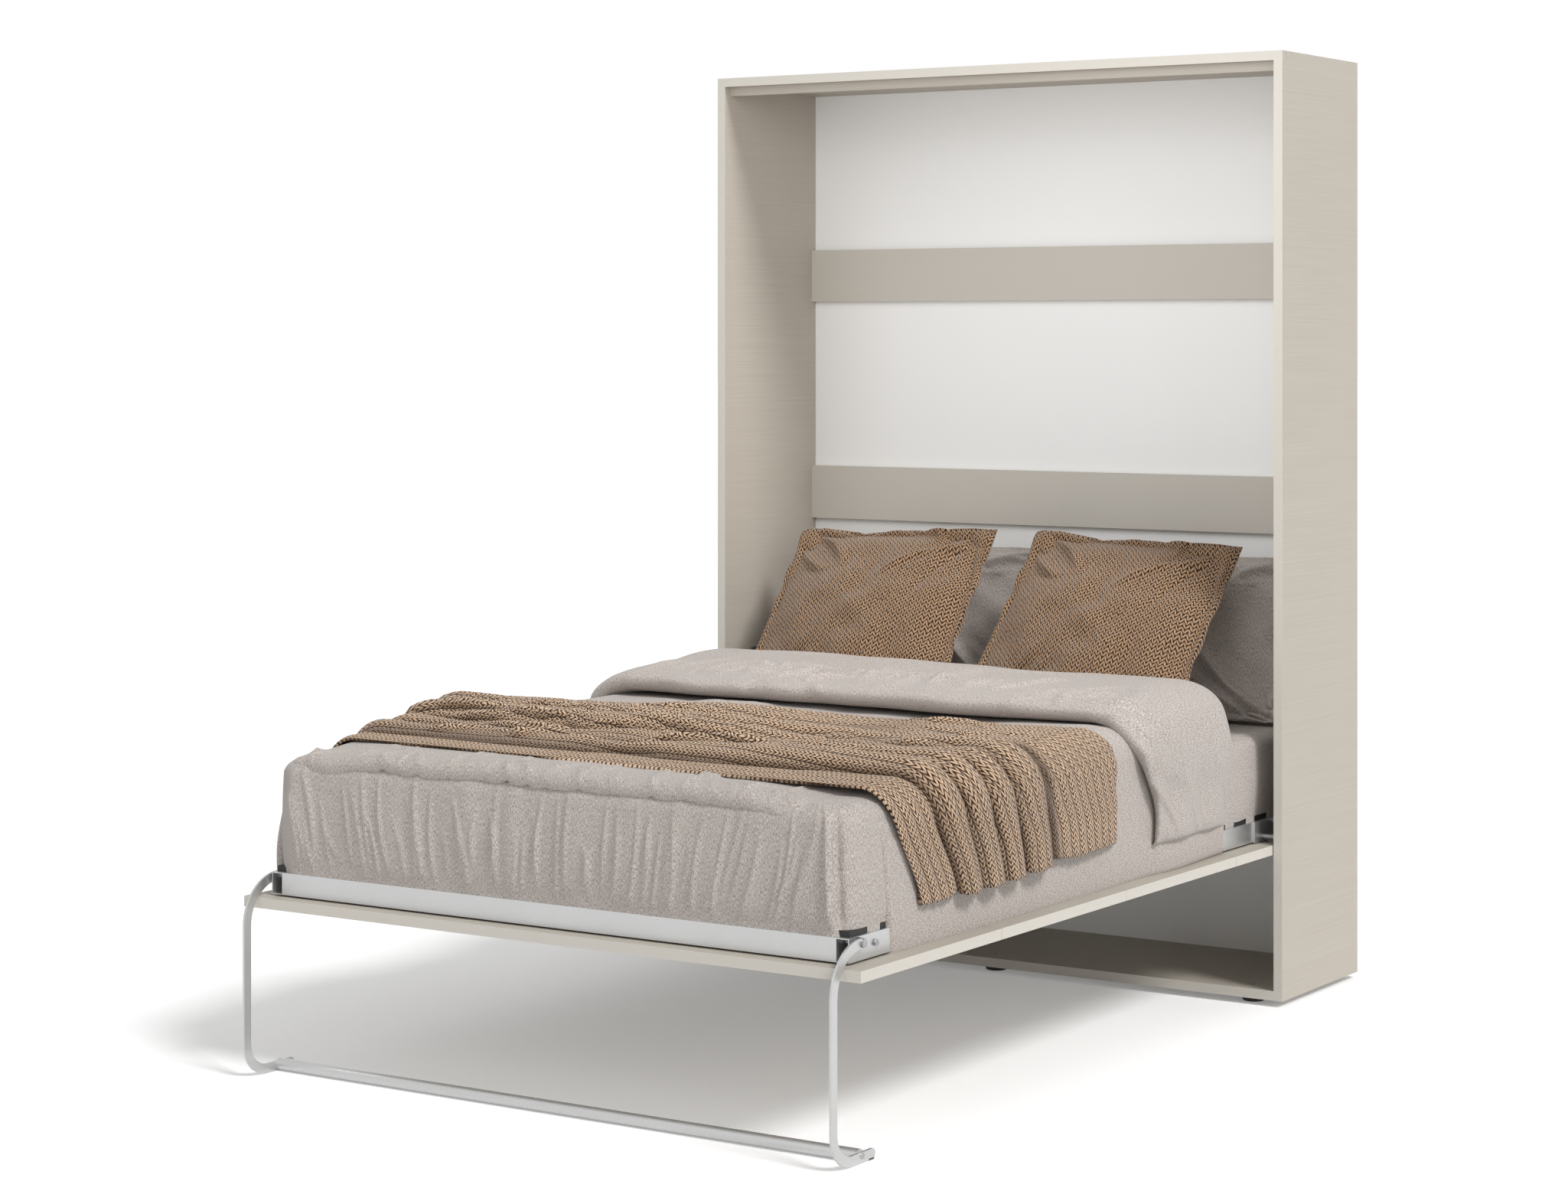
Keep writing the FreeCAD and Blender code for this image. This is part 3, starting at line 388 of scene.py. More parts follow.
def woven(name, points, flat_map, finish, ring=False):
    """Cloth over a grid of points [row, column], joined round in columns for a ring."""
    rows, columns = points.shape[:2]
    last = columns if ring else columns - 1
    row, column = np.meshgrid(np.arange(rows - 1), np.arange(last), indexing="ij")
    after = (column + 1) % columns
    faces = np.stack([row * columns + column, row * columns + after, (row + 1) * columns + after,
                      (row + 1) * columns + column], axis=-1).reshape(-1, 4)
    return cloth_object(name, points.reshape(-1, 3), faces, flat_map.reshape(-1, 2), finish)


def rounded_plan(way, half_x, low_y, high_y, radius):
    """Point and outward direction at a way round a rectangle with round corners, from the foot's left."""
    sides = np.array([2 * (half_x - radius), math.pi / 2 * radius, high_y - low_y - 2 * radius,
                      math.pi / 2 * radius] * 2)
    marks = np.concatenate([[0], np.cumsum(sides)])
    side = np.clip(np.searchsorted(marks, way, side="right") - 1, 0, 7)
    rest = way - marks[side]
    heading = (side // 2) * (math.pi / 2) + np.where(side % 2 == 1, rest / radius, 0)
    straight = np.where(side % 2 == 0, rest, 0)
    centre_x = np.array([-1, 1, 1, 1, 1, -1, -1, -1])[side] * (half_x - radius)
    centre_y = np.where(np.isin(side, (3, 4, 5, 6)), high_y - radius, low_y + radius)
    x = centre_x + straight * np.cos(heading) + radius * np.sin(heading)
    y = centre_y + straight * np.sin(heading) - radius * np.cos(heading)
    return x, y, np.sin(heading), -np.cos(heading)


foot_way = 2 * (cover_side - cover_corner)
whole_way = foot_way * 2 + 2 * (cover_head - cover_foot - 2 * cover_corner) + 2 * math.pi * cover_corner
foot_turn = foot_way + math.pi / 2 * cover_corner + fine_past_corner
way_line = np.concatenate([np.linspace(0, foot_turn, foot_columns, endpoint=False),
                           np.linspace(foot_turn, whole_way, other_columns, endpoint=False)])
path_line = np.concatenate([np.linspace(-tuck, cover_wall, wall_rows, endpoint=False),
                            cover_wall + crown_way * np.linspace(0, 1, crown_rows) ** 1.6])
way, path = np.meshgrid(way_line, path_line)
rise = np.clip(path, 0, cover_wall)
x, y, out_x, out_y = rounded_plan(way, cover_side, cover_foot, cover_head, cover_corner)
crown = sleep_top + 0.005 + 0.043 * ease(front - y, 1.0, 1.5)
height = cover_bottom + rise / cover_wall * (crown - cover_bottom)
inset = np.maximum(-path, 0) + np.maximum(path - cover_wall, 0)
edge_share = np.clip((rise - cover_wall + cover_edge) / cover_edge, 0, 1)
inset = inset + cover_edge * (1 - np.sqrt(1 - edge_share ** 2))
pull = np.clip(inset / crown_reach, 0, 1)
x_now = x + (np.clip(x, crown_reach - cover_side, cover_side - crown_reach) - x) * pull
y_now = y + (np.clip(y, cover_foot + crown_reach, cover_head - crown_reach) - y) * pull
rng = np.random.default_rng(7)
bulge = 0.007 * np.sin(np.pi * rise / cover_wall)
for index in range(slant_folds):
    share = (index + rng.uniform(0.1, 0.9)) / slant_folds
    place = foot_way * share
    lean = 0.13 * (share - 0.42) + rng.uniform(-0.012, 0.012)
    top = rng.uniform(0.13, 0.26)
    bulge = bulge + crease(way, rise, (place, rng.uniform(-0.05, 0.06)), (place + lean, top),
                           rng.uniform(0.004, 0.008), rng.uniform(0.0025, 0.006),
                           rng.uniform(-0.022, 0.010))
for index in range(broad_folds):
    share = (index + rng.uniform(0.2, 0.8)) / broad_folds
    place = foot_way * share
    bulge = bulge + crease(way, rise, (place, -0.08), (place + 0.16 * (share - 0.42), 0.30),
                           rng.uniform(0.016, 0.03), rng.uniform(0.002, 0.006), rng.uniform(-0.02, 0.02))
for index in range(tuck_folds):
    place = foot_way * index / tuck_folds + rng.uniform(-0.01, 0.01)
    end = (place + rng.uniform(-0.015, 0.015), rng.uniform(0.02, 0.05))
    bulge = bulge + crease(way, rise, (place, -0.03), end, 0.004, rng.uniform(0.001, 0.0025))
pleat = foot_way + cover_corner * 0.4
bulge = bulge + crease(way, rise, (pleat, -0.12), (pleat - 0.012, 0.27), 0.005, 0.016)
bulge = bulge - crease(way, rise, (pleat + 0.02, -0.12), (pleat + 0.004, 0.27), 0.008, 0.012)
bulge = bulge + 0.003 * drift(way * 9, rise * 7, 3)
side_bulge = np.where(path < cover_wall, bulge, 0) * ease(path, 0.006, 0.045)
hollow = 0.003 * drift(x_now * 8, y_now * 8, 5) * (path > cover_wall)
points = np.stack([x_now + out_x * side_bulge, y_now + out_y * side_bulge,
                   height + np.where(path < 0, path * 0.2, 0) + hollow], axis=-1)
mattress_cloth = woven("mattress_cover", points, np.stack([way, path], axis=-1), melange, ring=True)
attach(mattress_cloth, "bed")
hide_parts("mattress")

# Duvet: two layers of the weave over loose filling, lying to the foot with a soft thick edge and
# hanging down both sides to just above the door boards.
duvet_half = 0.722
duvet_corner = 0.065
duvet_lip = 0.019
side_lip = 0.014
tuck_under = 0.05
hem_foot = 0.375
hem_head = 0.384
head_y = front - 0.17
foot_y = front - 1.700
u_count, v_count = 430, 220
foot_folds, top_folds = 44, 26


def over_edge(u, half, radius):
    """Sideways path over a bed: flat to half - radius, a quarter turn, then straight down."""
    beyond = np.abs(u) - (half - radius)
    angle = np.clip(beyond / radius, 0, math.pi / 2)
    side = np.minimum(np.abs(u), half - radius) + radius * np.sin(angle)
    drop = radius * (1 - np.cos(angle)) + np.maximum(beyond - radius * math.pi / 2, 0)
    return np.sign(u) * side, drop, np.sign(u) * np.sin(angle), np.cos(angle)


def lip(distance, radius):
    """Edge of a thick cloth: in from the edge (distance > 0), round it by a half turn, back under."""
    angle = np.clip(-distance / radius, 0, math.pi)
    along = np.maximum(distance, 0) - radius * np.sin(angle) + np.maximum(-distance - math.pi * radius, 0)
    return along, radius * (1 - np.cos(angle))


def duvet_top(y):
    """Height of the duvet's crown: a little higher toward the turned-back end."""
    return 0.678 + 0.016 * ease(y - front, -1.35, -0.7)


def duvet_foot_line(u):
    """The foot edge runs straight across the top and slants back down each side."""
    down = np.abs(u) - (duvet_half - duvet_corner)
    slant = 0.03 * ease(down, -0.10, 0.03) + 0.085 * ease(down, 0.0, 0.16) + 0.03 * ease(down, 0.16, 0.4)
    return foot_y + slant * np.where(u < 0, 0.35, 1.0)


def hem_reach(y):
    """Flat distance from the bed's middle to the side hem."""
    hem = hem_foot + (hem_head - hem_foot) * ease(y - front, -0.9, -0.1)
    return duvet_half - duvet_corner + duvet_corner * math.pi / 2 + duvet_top(y) - duvet_corner - hem


edge_share, length_share = np.meshgrid(np.linspace(-1, 1, u_count), np.linspace(0, 1, v_count) ** 1.25)
u_reach = hem_reach(front - 1.0) + side_lip * math.pi
line = duvet_foot_line(edge_share * u_reach)
radius = duvet_lip - (duvet_lip - side_lip) * ease(np.abs(edge_share) * u_reach, 0.70, 0.86)
s = length_share * (head_y - line + tuck_under + math.pi * radius) - tuck_under - math.pi * radius
along, sunk = lip(s, radius)
y = line + along + 0.004 * drift(edge_share * 7, s * 0, 24)
side_s = (1 - np.abs(edge_share)) * u_reach - side_lip * math.pi
side_along, side_sunk = lip(side_s, side_lip)
u_now = np.sign(edge_share) * (hem_reach(y) - side_along)
middle_reach = hem_reach(y) - 0.5 * u_reach + side_lip * math.pi
u_now = np.where(np.abs(edge_share) < 0.5, edge_share / 0.5 * middle_reach, u_now)
x, drop, out_x, out_z = over_edge(u_now, duvet_half, duvet_corner)
y_local = y - front
rng = np.random.default_rng(11)
swell = 0.006 * drift(u_now * 3.1, y_local * 3.1, 21) + 0.003 * drift(u_now * 9, y_local * 8, 22)
for index in range(foot_folds):
    place = -0.74 + 1.5 * index / foot_folds + rng.uniform(-0.02, 0.02)
    reach = rng.uniform(0.05, 0.22)
    end = (place + rng.uniform(-0.14, 0.02), -1.735 + reach)
    swell = swell + crease(u_now, y_local, (place, -1.735), end, rng.uniform(0.005, 0.011),
                           rng.uniform(0.003, 0.009), rng.uniform(-0.02, 0.02))
for index in range(top_folds):
    place, away = rng.uniform(-0.7, 0.7), rng.uniform(-1.0, -0.6)
    end = (place + rng.uniform(0.08, 0.3), away + rng.uniform(-0.06, 0.03))
    swell = swell + crease(u_now, y_local, (place, away), end, rng.uniform(0.006, 0.013),
                           rng.uniform(0.003, 0.009), rng.uniform(-0.03, 0.03))
beyond_corner = ease(np.abs(u_now), 0.60, 0.72)
foot_bead = (0.006 + 0.002 * drift(u_now * 6, y * 0, 26)) * np.exp(-((s - 0.03) / 0.035) ** 2)
swell = swell * (1 - 0.6 * beyond_corner) + foot_bead * (1 - beyond_corner)
waves = 0.005 + 0.004 * np.sin(y_local * 14 + 0.8) + 0.005 * drift(y_local * 7, drop * 3, 23)
flare = ease(drop, 0.05, 0.3) * waves
flare = flare + 0.028 * ease(drop, 0.06, 0.24) * ease(-y_local, 1.5, 1.66) * (u_now < 0)
flare = flare * (1 - 0.8 * ease(y_local, -1.62, -1.5) * (1 - ease(y_local, -0.75, -0.6)))
settled = 0.020 * ease(np.abs(u_now), 0.42, 0.66) * (1 - ease(y_local, -1.70, -1.45))
hanging = ease(drop, 0.0, 0.1)
puff = swell * (1 - 0.5 * ease(drop, 0.0, 0.2)) + flare - settled * (1 - hanging)
# The least puff is 50 mm inward on top and 1 mm outward at the sides, where it hangs over the frame.
least_on_top, least_rise = -0.05, 0.051
out = np.maximum(puff, least_rise * hanging + least_on_top) - sunk - side_sunk
points = np.stack([x + out_x * out, y, duvet_top(y) - drop + out_z * out], axis=-1)
duvet_cloth = woven("duvet_cloth", points, np.stack([u_now, s], axis=-1), melange)
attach(duvet_cloth, "bed")
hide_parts("duvet")

# Turned-back end of the duvet: the same cloth folded double, a soft thick roll across the bed
# whose right end droops over the side in uneven pleats.
roll_half = duvet_half + 0.004
roll_corner = 0.115
roll_thick = 0.033
roll_drop_left, roll_drop_right = 0.035, 0.142
roll_limit = 0.762
over_count, under_count, across_count = 180, 50, 420
nose_folds, slack_folds, side_folds = 64, 12, 16
left_reach = roll_half - roll_corner + roll_corner * math.pi / 2 + roll_drop_left
right_reach = roll_half - roll_corner + roll_corner * math.pi / 2 + roll_drop_right


def held_in(out, x, out_x, limit, most):
    """room * tanh(out / room), where room is what is left sideways to limit, and no more than most.
    So the hanging cloth fits between the side panels when the bed is folded away."""
    room = np.minimum((limit - np.abs(x)) / np.maximum(np.abs(out_x), 0.05), most)
    return room * np.tanh(out / room)


turn_line = np.concatenate([np.linspace(0, math.pi, over_count, endpoint=False),
                            np.linspace(math.pi, 2 * math.pi, under_count, endpoint=False)])
turn, u = np.meshgrid(turn_line, np.linspace(-left_reach, right_reach, across_count))
x, drop, out_x, out_z = over_edge(u, roll_half, roll_corner)
nose = -0.622 + 0.10 * ease(drop, 0.02, 0.2) * (u > 0)
nose = nose + 0.014 * drift(u * 3.3, u * 0, 31) + 0.006 * drift(u * 11, u * 0, 32)
rear = -0.15 - 0.02 * ease(drop, 0.0, 0.05) + 0.012 * ease(drop, 0.05, 0.16)
end = np.clip(np.minimum(u + left_reach, right_reach - u) / 0.03, 0, 1)
closing = np.sqrt(np.clip(1 - (1 - end) ** 2, 0, 1)) * 0.99 + 0.01
thick = (roll_thick - 0.024 * ease(drop, 0.03, 0.16)) * closing
cosine, sine = np.cos(turn), np.sin(turn)
y_local = (nose + rear) / 2 - (rear - nose) / 2 * cosine
lift = thick * np.sign(sine) * np.clip(1 - np.abs(cosine) ** 5.7, 0, 1) ** 0.375
rng = np.random.default_rng(17)
swell = 0.009 * drift(u * 3.4, y_local * 5, 33) + 0.004 * drift(u * 10, y_local * 11, 34)
for index in range(nose_folds):
    place = -0.74 + 1.6 * index / nose_folds + rng.uniform(-0.02, 0.02)
    away = rng.uniform(-0.66, -0.5)
    end = (place + rng.uniform(-0.03, 0.14), away + rng.uniform(0.07, 0.24))
    swell = swell + crease(u, y_local, (place, away), end, rng.uniform(0.009, 0.019),
                           rng.uniform(-0.009, 0.025), rng.uniform(-0.02, 0.02))
for index in range(slack_folds):
    place, away = rng.uniform(-0.6, 0.3), rng.uniform(-0.5, -0.25)
    end = (place + rng.uniform(0.15, 0.4), away + rng.uniform(-0.05, 0.05))
    swell = swell + crease(u, y_local, (place, away), end, rng.uniform(0.010, 0.018),
                           rng.uniform(0.005, 0.012))
for index in range(side_folds):
    place, away = rng.uniform(0.72, 0.96), -0.6 + 0.026 * index
    end = (place + rng.uniform(0.05, 0.13), away + rng.uniform(0.04, 0.11))
    swell = swell + crease(u, y_local, (place, away), end, rng.uniform(0.007, 0.014),
                           rng.uniform(0.003, 0.008), rng.uniform(-0.012, 0.012))
pleats = 0.008 * np.sin(y_local * 40 + 1.2 + u * 4.5) + 0.005 * drift(y_local * 12, u * 3, 35)
swell = swell + ease(drop, 0.04, 0.16) * (pleats + 0.004)
crest = 0.02 * ease(y_local, -0.56, -0.22) * (1 - ease(drop, 0.0, 0.08))
out = thick + 0.001 + lift + (swell + crest) * np.clip(sine * 1.6 + 0.6, 0, 1) * closing
out = held_in(out, x, out_x, roll_limit, most=0.12)
points = np.stack([x + out_x * out, front + y_local, duvet_top(front - 0.6) - drop + out_z * out], axis=-1)
steps = np.hypot(np.diff(y_local, axis=1), np.diff(lift, axis=1))
around = np.concatenate([np.zeros((across_count, 1)), np.cumsum(steps, axis=1)], axis=1)
roll_cloth = woven("turned_back_cloth", points, np.stack([u, around], axis=-1), melange, ring=True)
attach(roll_cloth, "bed")
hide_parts("duvet_turnback")


# Knit: brown yarn in slanting stitches, ribbed for the throw and lumpier for the cushions. Two
# lobes to a column lean against each other like a herringbone.
def knit_finish(name, light, dark, column, row, lumps, ribs=0.0):
    """Stitch lobes: rows slant up and down by turns across the columns, with fuzz between them.
    With ribs, painted shade darkens the rib grooves, and the fold valleys where the mesh's shade attribute
    is low."""
    knit = Finish(name, specular_ior_level=0.12, sheen_weight=0.25, sheen_roughness=0.45)
    flat = knit.cloth_map()
    wander = (knit.noise(flat, 45.0, 2.0) - 0.5) * 0.9
    across, along = knit.axes(flat)[:2]
    place = across / column + wander * 0.35
    side = (place.fract() - 0.5).abs()
    stitch = (along / row + side * 2.0 + wander * 0.6).fract()
    loop = 1 - (stitch - 0.5).abs() * 2
    lobe = (loop * 1.6).least(1.0) * (1 - (side - 0.25).abs() * 2.2)
    fuzz = knit.noise(flat, 1300.0, 3.0, 0.7)
    tone = knit.noise(flat, 140.0, 3.0, 0.7)
    shown = knit.ramp(lobe * 0.75 + fuzz * 0.25 + (tone - 0.5) * 0.7, 0.36, 0.62)
    # Painted shade: the rib grooves and the throw's fold valleys are darkened in the colour.
    if ribs:
        groove = (across / ribs).fract()
        sunk = ((groove - 0.5).abs() * 2 - 0.82).most(0.0) * 5.0
        painted_fold_shade = knit.node("ShaderNodeAttribute", {"attribute_name": "painted_fold_shade"}, output=2)
        shown = shown * (1 - sunk) * painted_fold_shade
    height = lobe * 0.8 + fuzz * 0.3 + tone * lumps
    knit.wear(knit.mix(shown, dark, light), 0.85 + fuzz * 0.1, [(height, 0.0018)])
    return knit


rib_width = 0.034
throw_knit = knit_finish("brown_rib_knit", rgb(212, 182, 153), rgb(56, 39, 26),
                         column=0.0113333, row=0.0115, lumps=0.15, ribs=rib_width)
cushion_knit = knit_finish("brown_lump_knit", rgb(168, 137, 108), rgb(40, 27, 18),
                           column=0.0135, row=0.0120, lumps=0.2)

# Throw: a ribbed knit blanket laid across the foot, gathered into a heap on the left and fanned
# into folds down the right side. Its ribs run along the throw; it lies loose on the duvet.
throw_half = duvet_half + 0.004
throw_corner = duvet_corner + 0.004
throw_drop_left, throw_drop_right = 0.12, 0.158
throw_limit = 0.756
throw_gap = 0.005
rib_height = 0.006
throw_thickness = 0.006
flat_edge = throw_half - throw_corner + throw_corner * math.pi / 2
throw_left_reach = flat_edge + throw_drop_left
throw_right_reach = flat_edge + throw_drop_right
left_valley_shares = (0.14, 0.30, 0.46, 0.63, 0.82, 1.0)
right_valley_shares = (0.165, 0.275, 0.385, 0.495, 0.64, 1.0)
left_ridges = (0.036, 0.046, 0.060, 0.074, 0.052)
right_ridges = (0.041, 0.042, 0.041, 0.039, 0.014)
throw_columns, throw_rows, cross_folds = 236, 390, 46
u, w = np.meshgrid(np.linspace(-throw_left_reach, throw_right_reach, throw_columns),
                   np.linspace(0, 1, throw_rows))
x, drop, out_x, out_z = over_edge(u, throw_half, throw_corner)
rightward = ease(u, -0.75, 0.70)
fore = -1.535 - 0.055 * rightward + 0.11 * ease(u, 0.70, 0.95)
aft = -1.0 + 0.30 * ease(u, -0.35, 0.70)
calm = 1 - 0.85 * ease(u, 0.35, 0.75)
valleys = []
for index, (left_share, right_share) in enumerate(zip(left_valley_shares, right_valley_shares)):
    stray = 0.034 * drift(u * 2.9, w * 0, 60 + index) + 0.014 * drift(u * 8, w * 0, 80 + index)
    stray = stray * calm * (index < len(left_ridges))
    valleys.append(left_share + (right_share - left_share) * rightward + stray)
fold = 0.004 * np.sin(np.pi * np.clip(w / valleys[0], 0, 1))
fold = fold + 0.003 * drift(u * 5, w * 12, 43) * ease(w, 0.1, 0.2)
for index in range(len(left_ridges)):
    size = left_ridges[index] + (right_ridges[index] - left_ridges[index]) * ease(u, -0.2, 0.55)
    size = size * (0.85 + 0.35 * drift(u * 2.3, w * 0, 70 + index) * (1 - ease(u, 0.5, 0.8)))
    share = np.clip((w - valleys[index]) / (valleys[index + 1] - valleys[index]), 0, 1)
    fold = fold + size * np.sin(np.pi * share) ** 0.75
rng = np.random.default_rng(29)
for index in range(cross_folds):
    place, share = rng.uniform(-0.75, 0.40), rng.uniform(0.16, 0.9)
    end = (place + rng.uniform(0.15, 0.42), share + rng.uniform(-0.06, 0.08))
    fold = fold + crease(u, w, (place, share), end, rng.uniform(0.012, 0.022),
                         rng.uniform(-0.014, 0.016), rng.uniform(-0.05, 0.05))
fold = fold * ease(w, -0.06, 0.06) * ease(1 - w, -0.05, 0.05)
fold = held_in(np.maximum(fold, 0), x, out_x, throw_limit, most=0.16)
y_local = fore + (aft - fore) * w - 0.40 * fold
hem_wave = 0.016 * np.exp(-fold / 0.010) * ease(drop, 0.05, 0.25)
hem_wave = hem_wave * ease(w, 0.13, 0.18) * (1 - ease(w, 0.70, 0.78))
out = fold + throw_gap
lift_z = duvet_top(front + y_local) - drop + hem_wave
points = np.stack([x + out_x * out, front + y_local, lift_z + out_z * out], axis=-1)
flat_w = np.concatenate([np.zeros((1, u.shape[1])),
                         np.cumsum(np.linalg.norm(np.diff(points, axis=0), axis=2), axis=0)])
rib_place = flat_w + 0.005 * drift(u * 4, flat_w * 3, 44)
rib = rib_height * np.abs(np.sin(math.pi * rib_place / rib_width)) ** 0.5
facing = np.cross(np.gradient(points, axis=1), np.gradient(points, axis=0))
points = points + rib[..., None] * facing / np.linalg.norm(facing, axis=2, keepdims=True)
throw_cloth = woven("throw_cloth", points, np.stack([rib_place, u], axis=-1), throw_knit)
# Painted shade for the fold valleys: down to 22 % where the throw lies low between folds, none on the flat
# front band or past the last fold on the right.
plain = (w < valleys[0]) * 1.0 + ease(u, 0.0, 0.5) * ease(w - valleys[4], 0.01, 0.06)
painted_fold_light = np.maximum(0.22 + 0.78 * ease(fold, 0.0, 0.030), plain)
painted_fold_shade = throw_cloth.data.attributes.new("painted_fold_shade", "FLOAT", "POINT")
painted_fold_shade.data.foreach_set("value", np.minimum(painted_fold_light, 1.0).ravel())
thicken = throw_cloth.modifiers.new("thickness", "SOLIDIFY")
thicken.thickness = throw_thickness
thicken.offset = -1
thicken.use_rim_only = True
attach(throw_cloth, "bed")
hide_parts("knitted_throw")

# Pillows and cushions: two flat layers sewn round the edge and blown up by a cloth simulation, so
# that the sides draw in and the seams pucker; then leaned back and pressed down on the bed.
puff_columns = 96
puff_pressure = 4.0
puff_frames = 20
most_move = 0.028
crown_rise = 0.066
corner_creases = 6


def puffed(name, width, height, seed):
    """Two layers with one seam round them; returns settled points, faces and the flat map in metres."""
    rows = int(puff_columns * height / width)
    a, b = np.meshgrid(np.linspace(-1, 1, puff_columns), np.linspace(-1, 1, rows))
    round_off = ((1 - a ** 2) * (1 - b ** 2)) ** 0.5
    rng = np.random.default_rng(seed)
    wobble = 0.004 * drift(a * 4 + 9, b * 4 + 9, seed)
    pulls = 0.004 * drift(a * 5 + 20, b * 5 + 20, seed + 1) * round_off
    for corner_a, corner_b in ((-1, -1), (-1, 1), (1, -1), (1, 1)):
        for index in range(corner_creases):
            start = (corner_a * rng.uniform(0.78, 0.98), corner_b * rng.uniform(0.78, 0.98))
            end = (corner_a * rng.uniform(0.05, 0.6), corner_b * rng.uniform(0.05, 0.6))
            pulls = pulls + crease(a, b, start, end, rng.uniform(0.025, 0.05), rng.uniform(-0.008, 0.012),
                                   rng.uniform(-0.08, 0.08))
    rise = crown_rise * round_off + pulls
    front_face = np.stack([a * width / 2, rise + wobble, b * height / 2], axis=-1)
    back_face = np.stack([a * width / 2, -rise + wobble, b * height / 2], axis=-1)
    count = puff_columns * rows
    index = np.arange(count).reshape(rows, puff_columns)
    rim = np.zeros((rows, puff_columns), dtype=bool)
    rim[0], rim[-1], rim[:, 0], rim[:, -1] = True, True, True, True
    behind = index + count
    behind[rim] = index[rim]
    quads = [np.stack([grid[:-1, :-1], grid[1:, :-1], grid[1:, 1:], grid[:-1, 1:]], axis=-1).reshape(-1, 4)
             for grid in (index, behind)]
    faces = np.concatenate([quads[0][:, ::-1], quads[1]])
    points = np.concatenate([front_face.reshape(-1, 3), back_face.reshape(-1, 3)])
    used = np.unique(faces)
    renumber = np.full(len(points), -1)
    renumber[used] = np.arange(len(used))
    faces, points = renumber[faces], points[used]
    flat = points[:, (0, 2)].copy()
    points = blown_up(name, points, faces)
    return points, faces, flat


def blown_up(name, points, faces):
    """Cloth simulation under inner pressure; no point moves further than most_move, by a tanh."""
    data = bpy.data.meshes.new(name)
    data.from_pydata(points.tolist(), [], faces.tolist())
    piece = bpy.data.objects.new(name, data)
    bpy.context.scene.collection.objects.link(piece)
    cloth = piece.modifiers.new("cloth", "CLOTH")
    cloth.settings.quality = 6
    cloth.settings.mass = 0.25
    cloth.settings.tension_stiffness = 25
    cloth.settings.compression_stiffness = 12
    cloth.settings.shear_stiffness = 6
    cloth.settings.bending_stiffness = 0.12
    cloth.settings.use_pressure = True
    cloth.settings.uniform_pressure_force = puff_pressure
    cloth.settings.effector_weights.gravity = 0
    cloth.point_cache.frame_start, cloth.point_cache.frame_end = 1, puff_frames
    for step in range(1, puff_frames + 1):
        bpy.context.scene.frame_set(step)
    shaped = piece.evaluated_get(bpy.context.evaluated_depsgraph_get()).data
    settled = np.empty(len(points) * 3)
    shaped.vertices.foreach_get("co", settled)
    move = settled.reshape(-1, 3) - points
    reach = np.linalg.norm(move, axis=1, keepdims=True)
    points = points + move * most_move * np.tanh(reach / most_move) / np.maximum(reach, 0.0001)
    bpy.context.scene.frame_set(1)
    bpy.data.objects.remove(piece)
    bpy.data.meshes.remove(data)
    return points


def leaned(name, node, shape, finish, slot, lean, depth, sag, forward, turn):
    """Scale to depth, sag the lower part, turn in its own plane, lean back and seat on the node's box.
    Lean and turn are in degrees; sag is the lower part's share of extra depth."""
    points, faces, flat = shape
    low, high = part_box(node)
    across, through, up = points.T
    through = through * depth / max(np.ptp(through), 0.001)
    low_share = np.clip(0.5 - up / np.ptp(up), 0, 1)
    through = through * (1 + sag * low_share)
    up = up - sag * 0.05 * low_share
    spin = math.radians(turn)
    across_turned = across * math.cos(spin) - up * math.sin(spin)
    up = across * math.sin(spin) + up * math.cos(spin)
    tilt = math.radians(lean)
    x = (low.x + high.x) / 2 + across_turned
    y = up * math.sin(tilt) + through * math.cos(tilt)
    z = up * math.cos(tilt) - through * math.sin(tilt)
    bed_top = sleep_top + 0.002
    pressed = 0.012
    z = z - z.min() + bed_top - pressed
    z = np.where(z < bed_top + pressed, bed_top + (z - bed_top + pressed) * 0.5, z)
    y = y - y.max() + high.y + forward
    piece = cloth_object(name, np.stack([x, y, z], axis=-1), faces, flat, finish)
    smooth = piece.modifiers.new("smooth", "SUBSURF")
    smooth.levels = smooth.render_levels = 1
    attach(piece, "bed")
    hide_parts(node)
    return piece


cushion = {"shape": puffed("cushion_shape", 0.59, 0.58, 5), "finish": cushion_knit, "slot": "brown_knit",
           "lean": 40, "depth": 0.15, "sag": 0.15, "forward": -0.05}
pillow = {"shape": puffed("pillow_shape", 0.70, 0.47, 6), "finish": melange, "slot": "melange_weave",
          "lean": 30, "depth": 0.20, "sag": 0.2, "forward": 0.0}
pillow_left = leaned("pillow_left_cloth", "pillow_left", turn=0, **pillow)
pillow_right = leaned("pillow_right_cloth", "pillow_right", turn=0, **pillow)
cushion_left = leaned("cushion_left_cloth", "cushion_left", turn=3, **cushion)
cushion_right = leaned("cushion_right_cloth", "cushion_right", turn=-2, **cushion)

# Camera: level, with the frame shifted so that uprights stay upright, as in the photograph.
camera_data = bpy.data.cameras.new("camera")
camera_data.lens = 74.9
camera_data.shift_x = -0.0695
camera_data.shift_y = -0.1707
camera_data.clip_end = 200.0
camera = bpy.data.objects.new("camera", camera_data)
camera.location = (4.007, cabinet_front - 6.804, 1.544)
camera.rotation_euler = (math.radians(90), 0, math.radians(32.11))
bpy.context.scene.collection.objects.link(camera)
bpy.context.scene.camera = camera

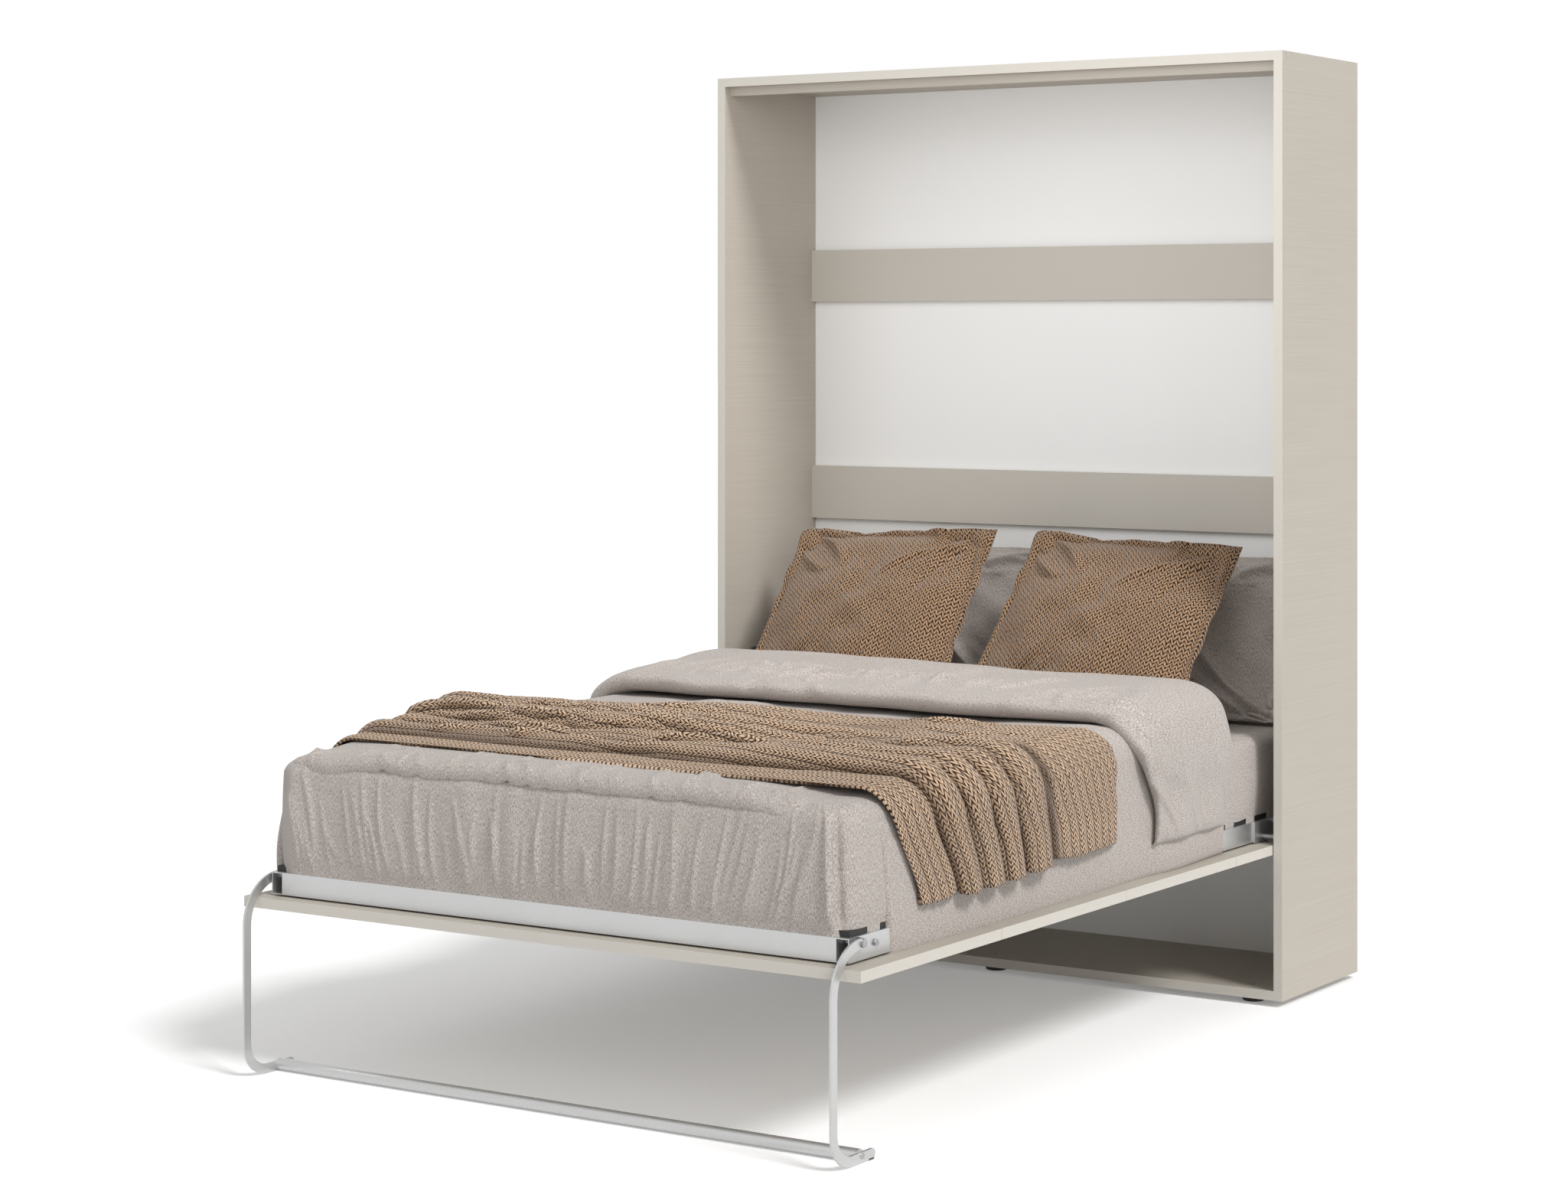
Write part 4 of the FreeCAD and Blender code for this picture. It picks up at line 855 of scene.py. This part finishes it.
# Stage: a pale floor that keeps the shadow and glows faintly to camera and glossy rays, and a white
# surround that only camera and clear rays see at full strength.
floor_half = 90.0
floor_lift = 0.2
white = (1.0, 1.0, 1.0, 1.0)
floor_mesh = bpy.data.meshes.new("floor")
floor_corners = [(-floor_half, -floor_half, 0), (floor_half, -floor_half, 0), (floor_half, floor_half, 0),
                 (-floor_half, floor_half, 0)]
floor_mesh.from_pydata(floor_corners, [], [(0, 1, 2, 3)])
floor = bpy.data.objects.new("floor", floor_mesh)
bpy.context.scene.collection.objects.link(floor)
floor_finish = Finish("floor_paint", roughness=0.9, specular_ior_level=0.0, base_color=(0.9, 0.9, 0.9, 1.0))
light_path = floor_finish.tree.nodes.new("ShaderNodeLightPath")
seen = Shade(light_path.outputs["Is Camera Ray"]).most(Shade(light_path.outputs["Is Glossy Ray"]))
lift = floor_finish.node("ShaderNodeEmission", {}, {"Color": white, "Strength": floor_lift})
dark = floor_finish.node("ShaderNodeEmission", {}, {"Color": white, "Strength": 0.0})
lift_mix = floor_finish.node("ShaderNodeMixShader", {}, {0: seen, 1: dark, 2: lift})
both = floor_finish.node("ShaderNodeAddShader", {}, {0: Shade(floor_finish.shader.outputs[0]), 1: lift_mix})
feed(floor_finish.tree.nodes["Material Output"].inputs["Surface"], both)
floor_mesh.materials.append(floor_finish.material)

world = bpy.data.worlds.new("surround")
world.use_nodes = True
bpy.context.scene.world = world
world_tree = world.node_tree
world_path = world_tree.nodes.new("ShaderNodeLightPath")
to_camera = Shade(world_path.outputs["Is Camera Ray"])
world_seen = to_camera.most(Shade(world_path.outputs["Is Transmission Ray"]))
world_shine = Shade(world_path.outputs["Is Glossy Ray"])
ambient_level = 0.44
shine_level = 0.85
world_light = world_shine * shine_level + (1 - world_shine) * ambient_level
world_strength = world_seen + (1 - world_seen) * world_light
feed(world_tree.nodes["Background"].inputs["Strength"], world_strength)
world_tree.nodes["Background"].inputs["Color"].default_value = white


# Suns: a key from the upper right, a weak one from the front and a weak one low from the right.
def soft_sun(name, toward, strength, spread):
    """A broad even light that comes from one direction; spread is its width in degrees."""
    data = bpy.data.lights.new(name, "SUN")
    data.energy = strength
    data.angle = math.radians(spread)
    light = bpy.data.objects.new(name, data)
    light.rotation_euler = Vector(toward).to_track_quat("Z", "Y").to_euler()
    bpy.context.scene.collection.objects.link(light)


soft_sun("key", (0.68, -0.20, 0.72), 2.1, 16)
soft_sun("front", (-0.15, -0.80, 0.50), 0.32, 40)
soft_sun("low", (0.85, -0.50, 0.15), 0.35, 30)

# One softbox above the bed looks into the cabinet, so that its back stays as bright as in the
# photograph.
softbox_data = bpy.data.lights.new("softbox", "AREA")
softbox_data.shape = "RECTANGLE"
softbox_data.size, softbox_data.size_y = 1.8, 1.0
softbox_data.energy = 11.0
softbox = bpy.data.objects.new("softbox", softbox_data)
softbox.location = (0.5, cabinet_front - 1.3, 2.15)
softbox_aim = Vector((-0.2, cabinet_front + 0.5, 1.35)) - softbox.location
softbox.rotation_euler = softbox_aim.to_track_quat("-Z", "Y").to_euler()
softbox.visible_camera = False
bpy.context.scene.collection.objects.link(softbox)

# Colours go to the picture as they are, without a film curve.
bpy.context.scene.view_settings.view_transform = "Standard"

# The duvet, the turned-back end, the throw, the cushions and the pillows each get a mesh of their own.
for piece in (duvet_cloth, roll_cloth, throw_cloth, cushion_left, cushion_right):
    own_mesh(piece)
for piece in (pillow_left, pillow_right):
    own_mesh(piece)
